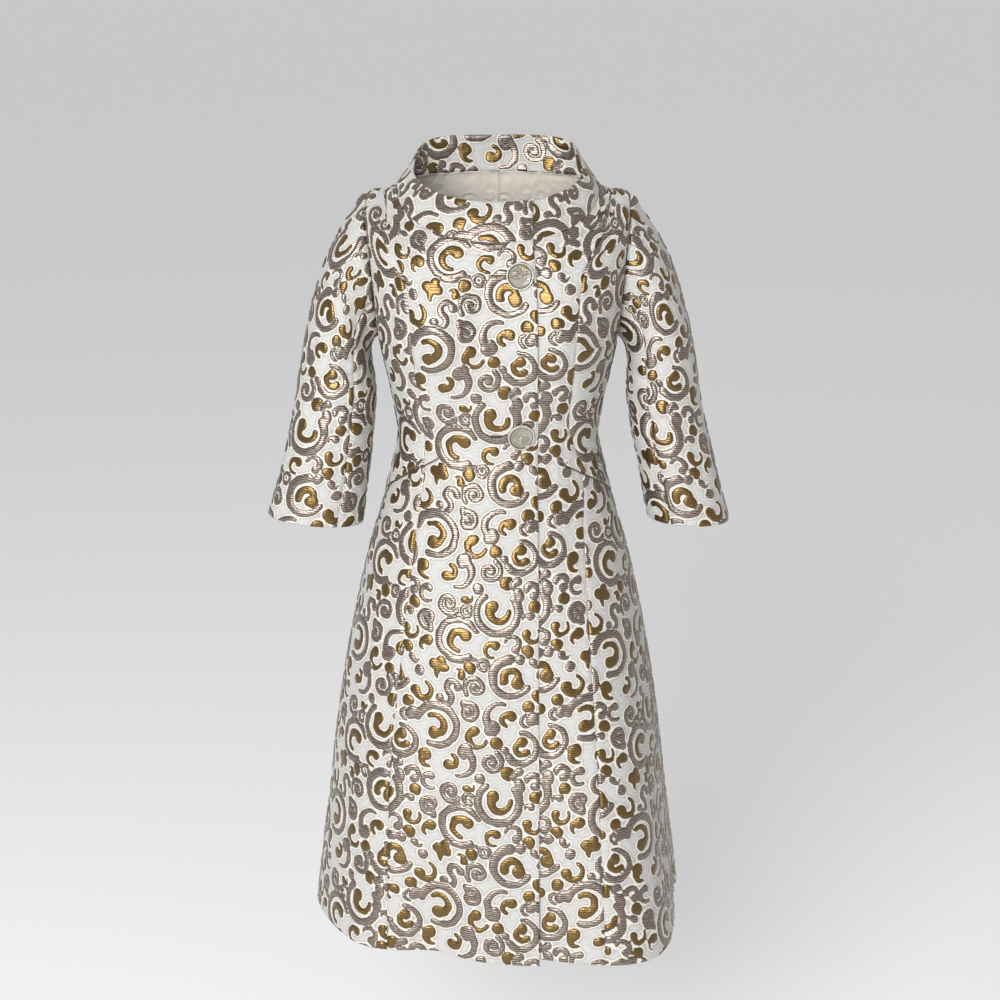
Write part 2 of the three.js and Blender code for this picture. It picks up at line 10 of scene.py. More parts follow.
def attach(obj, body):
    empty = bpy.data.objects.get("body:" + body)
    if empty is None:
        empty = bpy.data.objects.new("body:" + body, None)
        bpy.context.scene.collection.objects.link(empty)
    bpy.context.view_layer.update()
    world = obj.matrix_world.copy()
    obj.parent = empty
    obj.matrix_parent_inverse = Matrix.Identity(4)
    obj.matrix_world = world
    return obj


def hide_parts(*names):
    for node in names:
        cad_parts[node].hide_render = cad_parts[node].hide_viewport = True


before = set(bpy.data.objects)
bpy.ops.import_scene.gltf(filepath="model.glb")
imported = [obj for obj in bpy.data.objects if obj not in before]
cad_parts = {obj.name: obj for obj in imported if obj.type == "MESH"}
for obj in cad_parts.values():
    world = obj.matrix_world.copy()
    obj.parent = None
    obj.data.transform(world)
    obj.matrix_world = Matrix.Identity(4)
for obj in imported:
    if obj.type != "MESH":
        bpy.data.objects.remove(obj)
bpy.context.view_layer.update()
bpy.ops.object.select_all(action="DESELECT")

quarter = math.pi / 2
degree = math.pi / 180
millimetre = 0.001

# The body, level by level from the neckline to the hem, as in the solids.
bodyColumns = ("halfWidth", "frontDepth", "backDepth", "sideZ", "frontZ", "backZ", "square", "seamRight",
    "seamLeft", "closing")
bodyRows = [
    (138, 112, 88, -2, -64, 8, 2.15, 151, 151, 46),
    (151, 117, 95, -6, -82, -22, 2.35, 151, 151, 47),
    (178, 120, 101, -13, -100, -55, 2.6, 140, 122, 49),
    (180, 124, 106, -55, -128, -100, 2.75, 124, 111, 51),
    (174, 128, 109, -125, -165, -150, 2.75, 118, 107, 52),
    (165, 131, 109, -208, -208, -208, 2.6, 115, 104, 53),
    (154, 124, 105, -259, -259, -259, 2.4, 110, 101, 53),
    (143.5, 114, 98, -316, -316, -316, 2.3, 103, 97, 54),
    (141, 110, 95, -350, -350, -350, 2.25, 101, 106, 54),
    (153, 118, 108, -404, -404, -404, 2.2, 105, 119, 54),
    (169, 132, 124, -463, -463, -463, 2.2, 113, 118, 55),
    (186.5, 146, 138, -523, -523, -523, 2.2, 121, 119, 55),
    (214, 167, 158, -646, -646, -646, 2.2, 135, 121, 55),
    (235, 184, 172, -772, -772, -772, 2.2, 147, 124, 56),
    (252, 200, 184, -902, -902, -902, 2.2, 152, 126, 56),
    (274, 216, 200, -1060, -1060, -1060, 2.2, 155, 128, 57),
]
body = {name: np.array([row[k] for row in bodyRows], float) for k, name in enumerate(bodyColumns)}
tipRow = 2
underarmRow = 5
hemRow = len(bodyRows) - 1
hemZ = -1060.0

# Soft folds of the skirt: direction from the front, reach at the hem, half-width, start height.
skirtFolds = [
    (44, 58, 19, -430),
    (84, -10, 13, -560),
    (104, 9, 14, -480),
    (146, 26, 16, -450),
    (180, -8, 14, -520),
    (214, 24, 16, -450),
    (252, -6, 14, -560),
    (312, 12, 13, -520),
    (334, -16, 11, -600),
]
bust = {"x": 87, "z": -180, "out": 15, "wide": 46, "high": 62}
armhole = {"front": 17 * degree, "back": 25 * degree}
underlap = {"width": 48, "sink": 2.6, "near": 6, "far": 30}
cornerDrop = {"depth": 8, "forward": 2.2, "fromX": -90, "toX": 40, "fromRow": 12, "toRow": 15}
pockets = {
    1: {"z": -385, "slope": -75, "reach": 40},
    -1: {"z": -375, "slope": -79, "reach": 25},
}
cloth = {"wall": 1.5, "collarWall": 1.1, "step": 2.6, "backStep": 4.1}


def column(table, name, at):
    values = table[name]
    last = len(values) - 1
    at = np.clip(np.asarray(at, float), 0, last)
    index = np.minimum(np.floor(at).astype(int), last - 1)
    f = at - index
    a = values[index]
    b = values[index + 1]
    before = values[np.maximum(index - 1, 0)]
    after = values[np.minimum(index + 2, last)]
    slopeA = np.where(index > 0, (b - before) / 2, b - a)
    slopeB = np.where(index < last - 1, (after - a) / 2, b - a)
    f2 = f * f
    f3 = f2 * f
    return ((2 * f3 - 3 * f2 + 1) * a + (f3 - 2 * f2 + f) * slopeA + (3 * f2 - 2 * f3) * b
        + (f3 - f2) * slopeB)


def smooth(low, high, value):
    f = np.clip((value - low) / (high - low), 0, 1)
    return f * f * (3 - 2 * f)


def ringReach(turn, halfWidth, depth, square):
    across = np.abs(np.sin(turn)) / halfWidth
    along = np.abs(np.cos(turn)) / depth
    return (across ** square + along ** square) ** (-1 / square)


def bodyPoint(turn, at):
    # turn and at are arrays of one shape; the answer has x, y and z last.
    turn, at = np.broadcast_arrays(np.asarray(turn, float), np.asarray(at, float))
    forward = np.cos(turn)
    isFront = forward > 0
    depth = np.where(isFront, column(body, "frontDepth", at), column(body, "backDepth", at))
    reach = ringReach(turn, column(body, "halfWidth", at), depth, column(body, "square", at))
    sideZ = column(body, "sideZ", at)
    edgeZ = np.where(isFront, column(body, "frontZ", at), column(body, "backZ", at))
    z = sideZ + (edgeZ - sideZ) * np.minimum(np.abs(reach * forward) / depth, 1)
    for direction, out, spread, startZ in skirtFolds:
        grown = np.clip((startZ - z) / (startZ - hemZ), 0, 1)
        away = (turn - direction * degree + 2 * quarter) % (4 * quarter) - 2 * quarter
        reach = reach + out * grown ** 1.4 * np.exp(-(away / (spread * degree)) ** 2)
    x = reach * np.sin(turn)
    y = -reach * forward
    aside = (np.abs(x) - bust["x"]) / bust["wide"]
    above = (z - bust["z"]) / bust["high"]
    y = y - np.where(isFront, bust["out"] * np.exp(-aside ** 2 - above ** 2), 0)
    return np.stack([x, y, z], -1)


def turnAtX(x, at):
    halfWidth = column(body, "halfWidth", at)
    depth = column(body, "frontDepth", at)
    square = column(body, "square", at)
    share = np.minimum(np.abs(x) / halfWidth, 1)
    y = depth * np.maximum(1 - share ** square, 0) ** (1 / square)
    return np.sign(x) * np.arctan2(np.abs(x), y)


def rowAtZ(x, z):
    low = np.zeros(np.shape(z))
    high = np.full(np.shape(z), float(hemRow))
    for step in range(34):
        middle = (low + high) / 2
        above = bodyPoint(turnAtX(x, middle), middle)[..., 2] > z
        low = np.where(above, middle, low)
        high = np.where(above, high, middle)
    return (low + high) / 2


def armTurn(at, side):
    share = (at - tipRow) / (underarmRow - tipRow)
    return armhole[side] * np.sqrt(np.clip(1 - (1 - 2 * share) ** 2, 0, 1))


def frontSeam(side, at):
    # Plan direction of a front seam, as a positive angle.
    x = column(body, "seamLeft" if side > 0 else "seamRight", at)
    return np.where(at <= 1, quarter, turnAtX(x, at))


def pocketRow(side, turn):
    seam = frontSeam(side, 8.3)
    z = pockets[side]["z"] + pockets[side]["slope"] * (np.abs(turn) - seam)
    return rowAtZ(np.zeros(np.shape(z)), z)


# Lengths of cloth down the body from the waist, kept as a table over directions and rows.
lengthTurns = np.linspace(-2 * quarter, 2 * quarter, 361)
lengthRows = np.linspace(0, hemRow, 901)
waistRow = 8


def bodyLengths():
    grid = bodyPoint(lengthTurns[None, :], lengthRows[:, None])
    steps = np.linalg.norm(np.diff(grid, axis=0), axis=-1)
    lengths = np.concatenate([np.zeros((1, len(lengthTurns))), np.cumsum(steps, 0)], 0)
    waist = [np.interp(waistRow, lengthRows, lengths[:, k]) for k in range(len(lengthTurns))]
    return lengths - np.array(waist)[None, :]


lengthTable = bodyLengths()


def lengthDown(turn, at):
    i = np.clip(at / hemRow * (len(lengthRows) - 1), 0, len(lengthRows) - 1.001)
    j = np.clip((turn / (2 * quarter) + 1) / 2 * (len(lengthTurns) - 1), 0, len(lengthTurns) - 1.001)
    i0 = i.astype(int)
    j0 = j.astype(int)
    fi = i - i0
    fj = j - j0
    top = lengthTable[i0, j0] * (1 - fj) + lengthTable[i0, j0 + 1] * fj
    low = lengthTable[i0 + 1, j0] * (1 - fj) + lengthTable[i0 + 1, j0 + 1] * fj
    return top * (1 - fi) + low * fi


# Smooth noise on a fixed lattice, the same in each run.
lattice = np.random.default_rng(7).random((64, 64)) * 2 - 1


def softNoise(x, y):
    i = np.floor(x).astype(int)
    j = np.floor(y).astype(int)
    fx = x - i
    fy = y - j
    fx = fx * fx * (3 - 2 * fx)
    fy = fy * fy * (3 - 2 * fy)
    a = lattice[i % 64, j % 64]
    b = lattice[(i + 1) % 64, j % 64]
    c = lattice[i % 64, (j + 1) % 64]
    d = lattice[(i + 1) % 64, (j + 1) % 64]
    return (a * (1 - fx) + b * fx) * (1 - fy) + (c * (1 - fx) + d * fx) * fy


# The scroll weave. Each shape is drawn in a circle of radius 1 as strokes:
# centre x and y, first and last radius, first angle, sweep, first and last half-width, ball at the end, thread.
scrollShapes = {
    "doubleScroll": [
        (0.0, 0.0, 0.80, 0.78, -48, -262, 0.13, 0.17, 0.0, 0),
        (0.74, 0.58, 0.17, 0.15, 215, -200, 0.15, 0.15, 0.19, 0),
        (0.04, 0.02, 0.40, 0.32, 75, 225, 0.10, 0.19, 0.25, 1),
    ],
    "bigHook": [
        (0.0, 0.0, 0.76, 0.72, 20, 235, 0.12, 0.20, 0.0, 0),
        (0.04, 0.04, 0.34, 0.27, 150, 235, 0.17, 0.12, 0.27, 1),
        (0.14, -0.76, 0.06, 0.06, 0, 10, 0.21, 0.21, 0.21, 0),
    ],
    "spiral": [(0.0, 0.0, 0.76, 0.08, 0, 520, 0.17, 0.175, 0.18, 0)],
    "snail": [
        (0.0, 0.0, 0.70, 0.10, 30, 430, 0.20, 0.21, 0.22, 0),
        (0.30, 0.62, 0.62, 0.62, -40, -75, 0.24, 0.07, 0.0, 0),
    ],
    "hook": [
        (0.0, 0.0, 0.62, 0.48, -5, 235, 0.12, 0.29, 0.38, 1),
    ],
    "paleHook": [(0.0, 0.0, 0.62, 0.50, -5, 230, 0.14, 0.27, 0.36, 0)],
    "sScroll": [
        (0.0, -0.44, 0.44, 0.32, 90, 235, 0.21, 0.18, 0.28, 0),
        (0.0, 0.44, 0.44, 0.32, -90, 235, 0.21, 0.18, 0.28, 0),
    ],
    "leaf": [
        (-0.38, -0.12, 0.02, 0.02, 0, 10, 0.38, 0.38, 0.38, 1),
        (0.34, -0.22, 0.02, 0.02, 0, 10, 0.36, 0.36, 0.36, 1),
        (0.0, -0.58, 0.02, 0.02, 0, 10, 0.34, 0.34, 0.34, 1),
        (0.9, 0.0, 0.92, 0.92, 190, -55, 0.36, 0.06, 0.0, 1),
    ],
    "comma": [(0.0, 0.05, 0.55, 0.42, -30, 170, 0.10, 0.36, 0.50, 1)],
    "paleComma": [(0.0, 0.05, 0.55, 0.42, -30, 170, 0.12, 0.34, 0.48, 0)],
    "dot": [(0.0, 0.0, 0.01, 0.01, 0, 10, 0.94, 0.94, 0.94, 1)],
    "paleDot": [(0.0, 0.0, 0.01, 0.01, 0, 10, 0.92, 0.92, 0.92, 0)],
    "ring": [
        (0.0, 0.0, 0.68, 0.68, 0, 360, 0.27, 0.27, 0.27, 0),
        (0.0, 0.0, 0.01, 0.01, 0, 10, 0.20, 0.20, 0.20, 0),
    ],
    "stalk": [
        (0.0, 0.0, 0.68, 0.70, -70, -150, 0.09, 0.22, 0.0, 0),
        (-0.42, 0.50, 0.22, 0.16, -60, 200, 0.21, 0.18, 0.28, 0),
        (0.35, 0.10, 0.30, 0.26, 110, 200, 0.10, 0.20, 0.27, 1),
    ],
}
# One repeat of the weave: shape, place across and down in millimetres, reach, and turn in degrees.
scrollRepeat = {"across": 170.0, "down": 265.0, "cell": 0.6, "grow": 1.07, "gap": 1.7}
scrollPlaces = [
    ("doubleScroll", 91, 4, 33, 20),
    ("paleHook", 165, 9, 16, 200),
    ("comma", 45, 16, 15, 150),
    ("hook", 137, 17, 16, 80),
    ("dot", 16, 21, 9, 0),
    ("paleComma", 29, 35, 11, 40),
    ("ring", 125, 38, 10, 0),
    ("dot", 106, 43, 9, 0),
    ("leaf", 62, 46, 19, 25),
    ("paleDot", 35, 53, 8, 0),
    ("comma", 90, 52, 11, 250),
    ("bigHook", 163, 56, 33, 10),
    ("spiral", 114, 70, 20, 140),
    ("hook", 39, 79, 20, 300),
    ("sScroll", 77, 79, 21, 35),
    ("dot", 17, 98, 9, 0),
    ("snail", 104, 106, 19, 230),
    ("stalk", 148, 112, 27, 0),
    ("ring", 14, 117, 10, 0),
    ("doubleScroll", 58, 127, 34, 160),
    ("hook", 115, 141, 20, 20),
    ("dot", 142, 147, 9, 0),
    ("bigHook", 6, 155, 27, 250),
    ("spiral", 134, 174, 20, 300),
    ("comma", 45, 178, 18, 100),
    ("stalk", 89, 177, 27, 170),
    ("dot", 157, 190, 10, 0),
    ("paleDot", 118, 198, 8, 0),
    ("sScroll", 14, 198, 21, 110),
    ("comma", 104, 210, 11, 0),
    ("paleHook", 46, 209, 16, 60),
    ("spiral", 77, 220, 20, 30),
    ("dot", 26, 224, 9, 0),
    ("ring", 103, 229, 10, 0),
    ("doubleScroll", 145, 231, 34, 280),
    ("paleComma", 16, 240, 11, 190),
    ("snail", 47, 243, 19, 60),
    ("hook", 22, 263, 16, 330),
]


def strokeDistance(stroke, placeX, placeY, reach, angle, gx, gy):
    # How far each spot of a grid lies inside one stroke, in millimetres.
    cx, cy, first, last, start, sweep, thin, thick, ball, gold = stroke
    steps = max(2, int(abs(sweep) / 5) + 1)
    t = np.linspace(0, 1, steps)
    radius = first + (last - first) * t
    direction = (start + sweep * t) * degree
    px = cx + radius * np.cos(direction)
    py = cy + radius * np.sin(direction)
    x = placeX + reach * (px * math.cos(angle) - py * math.sin(angle))
    y = placeY + reach * (px * math.sin(angle) + py * math.cos(angle))
    width = reach * (thin + (thick - thin) * t)
    near = np.full(gx.shape, -20.0)
    for k in range(steps - 1):
        stepX = x[k + 1] - x[k]
        stepY = y[k + 1] - y[k]
        f = np.clip(((gx - x[k]) * stepX + (gy - y[k]) * stepY) / (stepX ** 2 + stepY ** 2 + 1e-9), 0, 1)
        away = np.hypot(gx - x[k] - f * stepX, gy - y[k] - f * stepY)
        near = np.maximum(near, width[k] + (width[k + 1] - width[k]) * f - away)
    if ball:
        near = np.maximum(near, reach * ball - np.hypot(gx - x[-1], gy - y[-1]))
    return near


def chartWeave():
    # The weave as a fine grid: distance into the nearest stroke in millimetres, and its thread.
    cell = scrollRepeat["cell"]
    wide = int(round(scrollRepeat["across"] / cell))
    high = int(round(scrollRepeat["down"] / cell))
    inside = np.full((high, wide), -9.0)
    thread = np.zeros((high, wide))
    for shape, placeX, placeY, reach, turn in scrollPlaces:
        grown = reach * scrollRepeat["grow"]
        margin = 1.2 * grown + 4
        columnsHere = np.arange(int((placeX - margin) / cell), int((placeX + margin) / cell) + 1)
        rowsHere = np.arange(int((placeY - margin) / cell), int((placeY + margin) / cell) + 1)
        gx, gy = np.meshgrid(columnsHere * cell, rowsHere * cell)
        block = np.ix_(rowsHere % high, columnsHere % wide)
        for gold in (0, 1):
            near = np.full(gx.shape, -20.0)
            for stroke in scrollShapes[shape]:
                if stroke[-1] == gold:
                    near = np.maximum(near, strokeDistance(stroke, placeX, placeY, grown, turn * degree,
                        gx, gy))
            # A newer shape keeps a narrow strip of ground round itself.
            older = np.minimum(inside[block], -near - scrollRepeat["gap"])
            thread[block] = np.where(near > older, gold, thread[block])
            inside[block] = np.maximum(near, older)
    return inside, thread


weaveInside, weaveThread = chartWeave()
print("weave charted")


def weaveAt(u, v):
    # Reads the chart at cloth coordinates in millimetres.
    high, wide = weaveInside.shape
    wobble = 1.1 * softNoise(u / 9, v / 9)
    x = (u + wobble) / scrollRepeat["cell"]
    y = (v + 1.1 * softNoise(v / 9 + 20, u / 9)) / scrollRepeat["cell"]
    i = np.floor(x).astype(int)
    j = np.floor(y).astype(int)
    fx = x - i
    fy = y - j

    def read(chart):
        top = chart[j % high, i % wide] * (1 - fx) + chart[j % high, (i + 1) % wide] * fx
        low = chart[(j + 1) % high, i % wide] * (1 - fx) + chart[(j + 1) % high, (i + 1) % wide] * fx
        return top * (1 - fy) + low * fy

    return read(weaveInside), read(weaveThread)


relief = {"puff": 1.25, "rise": 3.4, "groove": 0.35, "grooveWide": 1.4}
seamShape = {"depth": 1.3, "reach": 2.6, "pucker": 0.45, "puckerReach": 11.0, "puckerStep": 7.0}
edgeShape = {"depth": 0.9, "reach": 1.2}
drape = {"depth": 1.3, "across": 46.0, "down": 95.0, "fine": 0.3, "fineStep": 15.0}


def seamDip(distance, along, kind):
    # How far the cloth sinks near an edge: a sewn seam, a folded free edge, or nothing.
    if kind == "seam":
        ripple = seamShape["pucker"] * softNoise(along / seamShape["puckerStep"], along * 0 + 3)
        return (-seamShape["depth"] * np.exp(-(distance / seamShape["reach"]) ** 2)
            + ripple * np.exp(-distance / seamShape["puckerReach"]))
    if kind == "edge":
        return -edgeShape["depth"] * np.exp(-(distance / edgeShape["reach"]) ** 2)
    return 0 * distance


def gridNormals(points):
    along = np.gradient(points, axis=0)
    across = np.gradient(points, axis=1)
    normal = np.cross(along, across)
    return normal / np.maximum(np.linalg.norm(normal, axis=-1, keepdims=True), 1e-9)


def gridLengths(points):
    # Lengths across each row and down each column, from the first row and column.
    acrossStep = np.linalg.norm(np.diff(points, axis=1), axis=-1)
    downStep = np.linalg.norm(np.diff(points, axis=0), axis=-1)
    u = np.concatenate([np.zeros((points.shape[0], 1)), np.cumsum(acrossStep, 1)], 1)
    v = np.concatenate([np.zeros((1, points.shape[1])), np.cumsum(downStep, 0)], 0)
    return u, v


def spacedShares(length, step, fine=(0.4, 1.2, 2.4)):
    # Shares from 0 to 1 along a length, with a few close steps at both ends.
    count = max(2, int(round((length - 2 * fine[-1]) / step)))
    middle = np.linspace(fine[-1], length - fine[-1], count + 1)
    ends = np.array(fine[:-1])
    return np.concatenate([[0], ends, middle, length - ends[::-1], [length]]) / length


# The front seam leaves the shoulder almost sideways, so the rows lie closer there.
shoulderRows = 1 + 0.75 * np.linspace(0, 1, 44) ** 1.6


def rowsByLength(turnOf, fromRow, toRow, step, extra=()):
    # Row positions at even lengths down the cloth, with the armhole rows set closer at its ends.
    fineRows = np.linspace(fromRow, toRow, 1500)
    line = bodyPoint(turnOf(fineRows), fineRows)
    length = np.concatenate([[0], np.cumsum(np.linalg.norm(np.diff(line, axis=0), axis=-1))])
    rows = np.interp(spacedShares(length[-1], step) * length[-1], length, fineRows)
    if fromRow < shoulderRows[-1]:
        rows = np.concatenate([rows[(rows < shoulderRows[0]) | (rows > shoulderRows[-1])],
            shoulderRows[shoulderRows >= fromRow]])
        rows.sort()
    if fromRow < underarmRow:
        places = np.linspace(0, math.pi, 84)
        armRows = tipRow + (underarmRow - tipRow) * (1 - np.cos(places)) / 2
        armRows = np.concatenate([[tipRow],
            armRows[(armRows > tipRow + 0.015) & (armRows < underarmRow - 0.01)], [underarmRow]])
        rows = np.concatenate([rows[rows < tipRow - 0.01], armRows, rows[rows > underarmRow + 0.02]])
    for spot in extra:
        rows = rows[np.abs(rows - spot) > 0.03]
    return np.sort(np.concatenate([rows, np.array(extra, float)]))


pieces = {}


def clothPiece(name, points, lengths, weave, kinds, offsets=0.0, holes=None, wall=None, materials=(),
    relieved=1.0):
    # Turns a grid of points into one closed piece of cloth with its weave and relief.
    u, v = lengths
    normal = gridNormals(points)
    width = u[:, -1:]
    height = v[-1:, :]
    weaveU, weaveV = weave
    inside, thread = weaveAt(weaveU, weaveV)
    out = np.zeros(u.shape) + offsets
    out += seamDip(u, v, kinds[0]) + seamDip(width - u, v + 50, kinds[1])
    out += seamDip(v, u, kinds[2]) + seamDip(height - v, u + 90, kinds[3])
    calm = smooth(0, 22, np.minimum(np.minimum(u, width - u), np.minimum(v, height - v)))
    spot = weaveU[0, 0]
    out += calm * drape["depth"] * softNoise(u / drape["across"] + spot, v / drape["down"] + spot)
    fineU = u / drape["fineStep"] + 9
    fineV = v / (1.6 * drape["fineStep"]) + spot
    out += calm * drape["fine"] * softNoise(fineU, fineV)
    edge = smooth(0, 2.5, np.minimum(np.minimum(u, width - u), np.minimum(v, height - v)))
    puffed = (relief["puff"] * smooth(-0.8, relief["rise"], inside)
        - relief["groove"] * np.exp(-((inside + 0.4) / relief["grooveWide"]) ** 2))
    out += relieved * edge * puffed
    shaped = points + normal * out[..., None]
    rows, columns = u.shape
    index = np.arange(rows * columns).reshape(rows, columns)
    faces = np.stack([index[:-1, :-1], index[1:, :-1], index[1:, 1:], index[:-1, 1:]], -1)
    if holes is not None:
        faces = faces[~holes]
    faces = faces.reshape(-1, 4)
    used = np.unique(faces)
    renumber = np.zeros(rows * columns, int)
    renumber[used] = np.arange(len(used))
    flat = shaped.reshape(-1, 3)[used] * millimetre
    mesh = bpy.data.meshes.new(name)
    mesh.from_pydata(flat.tolist(), [], renumber[faces].tolist())
    layer = mesh.uv_layers.new(name="cloth")
    corner = np.zeros(len(mesh.loops), np.int32)
    mesh.loops.foreach_get("vertex_index", corner)
    cloth2d = np.stack([weaveU.reshape(-1)[used], -weaveV.reshape(-1)[used]], -1) * millimetre
    layer.data.foreach_set("uv", cloth2d[corner].reshape(-1).astype(np.float32))
    for label, values in (("motif", inside), ("gold", thread)):
        attribute = mesh.attributes.new(label, "FLOAT", "POINT")
        attribute.data.foreach_set("value", values.reshape(-1)[used].astype(np.float32))
    mesh.update()
    piece = bpy.data.objects.new(name, mesh)
    bpy.context.collection.objects.link(piece)
    for material in materials:
        mesh.materials.append(material)
    bpy.context.view_layer.objects.active = piece
    piece.select_set(True)
    solid = piece.modifiers.new("wall", "SOLIDIFY")
    solid.thickness = (wall or cloth["wall"]) * millimetre
    solid.offset = -1
    solid.use_rim = True
    solid.material_offset = 1 if len(materials) > 1 else 0
    solid.material_offset_rim = 0
    bpy.ops.object.modifier_apply(modifier=solid.name)
    bpy.ops.object.shade_smooth()
    piece.select_set(False)
    flatArea = float(gridArea(points))
    print(name, 2 * len(mesh.polygons), "triangles")
    pieces[name] = {"piece": piece, "wide": float(width.max()), "long": float(height.max()),
        "area": flatArea}
    return piece


def hungWeave(points, turn, at, grain, start):
    # Weave coordinates of a body panel: level all round, measured across from its grain line.
    flat = points.copy()
    flat[..., 2] = 0
    across, down = gridLengths(flat)
    return across - grain * across[:, -1:] + start[0], lengthDown(turn, at) + start[1]


def gridArea(points):
    a = points[1:, :-1] - points[:-1, :-1]
    b = points[:-1, 1:] - points[:-1, :-1]
    c = points[1:, 1:] - points[1:, :-1]
    d = points[1:, 1:] - points[:-1, 1:]
    first = np.linalg.norm(np.cross(a, b), axis=-1).sum()
    second = np.linalg.norm(np.cross(c, d), axis=-1).sum()
    return (first + second) / 2


# Materials.

brocadeLook = {
    "ground": (0.475, 0.475, 0.465, 1),
    "groundShade": (0.38, 0.372, 0.36, 1),
    "shadow": (0.24, 0.205, 0.17, 1),
    # painted highlight on the raised ridge of ground round each shape
    "ridgeHighlight": (0.60, 0.575, 0.52, 1),
    "taupeDark": (0.075, 0.053, 0.043, 1),
    "taupePale": (0.33, 0.275, 0.235, 1),
    "goldDark": (0.085, 0.047, 0.018, 1),
    "goldPale": (0.27, 0.18, 0.062, 1),
    # painted shade at the inner edge of each shape, where it dips into its groove
    "grooveShade": (0.07, 0.048, 0.033, 1),
    "ribStep": 0.0031,
    "goldMetal": 0.92,
    "taupeMetal": 0.85,
    "ragged": 2.0,
    "bump": {"ridgeHighlight": 0.5, "rib": 0.22, "slub": 0.05, "crinkle": 0.5, "weft": 0.03, "deep": 0.0008},
    "sheen": 0.1,
    "sheenRoughness": 0.5,
    "roughness": {"ground": 0.7, "taupe": 0.27, "gold": 0.25},
}


class NodeSheet:
    # A short way to lay out shader nodes and join them.

    def __init__(self, name):
        self.material = bpy.data.materials.new(name)
        self.material.use_nodes = True
        self.tree = self.material.node_tree
        self.shader = next(n for n in self.tree.nodes if n.type == "BSDF_PRINCIPLED")

    def add(self, kind, inputs=None, **settings):
        node = self.tree.nodes.new(kind)
        for key, value in settings.items():
            setattr(node, key, value)
        for key, value in (inputs or {}).items():
            if hasattr(value, "is_output"):
                self.tree.links.new(value, node.inputs[key])
            else:
                node.inputs[key].default_value = value
        return node

    def math(self, operation, a, b=0.0, c=None):
        inputs = {0: a, 1: b}
        if c is not None:
            inputs[2] = c
        return self.add("ShaderNodeMath", inputs, operation=operation).outputs[0]

    def noise(self, vector, scale, detail):
        stretched = self.add("ShaderNodeMapping", {"Vector": vector, "Scale": scale}).outputs[0]
        return self.add("ShaderNodeTexNoise", {"Vector": stretched, "Scale": 1.0,
            "Detail": detail}).outputs[0]

    def ramp(self, value, low, high):
        return self.add("ShaderNodeMapRange", {"Value": value, "From Min": low, "From Max": high},
            interpolation_type="SMOOTHSTEP").outputs[0]

    def mix(self, share, a, b):
        node = self.tree.nodes.new("ShaderNodeMix")
        node.data_type = "RGBA"
        for socket, value in zip((node.inputs[0], node.inputs[6], node.inputs[7]), (share, a, b)):
            if hasattr(value, "is_output"):
                self.tree.links.new(value, socket)
            else:
                socket.default_value = value
        return node.outputs[2]

    def out(self, key, value):
        if hasattr(value, "is_output"):
            self.tree.links.new(value, self.shader.inputs[key])
        else:
            self.shader.inputs[key].default_value = value


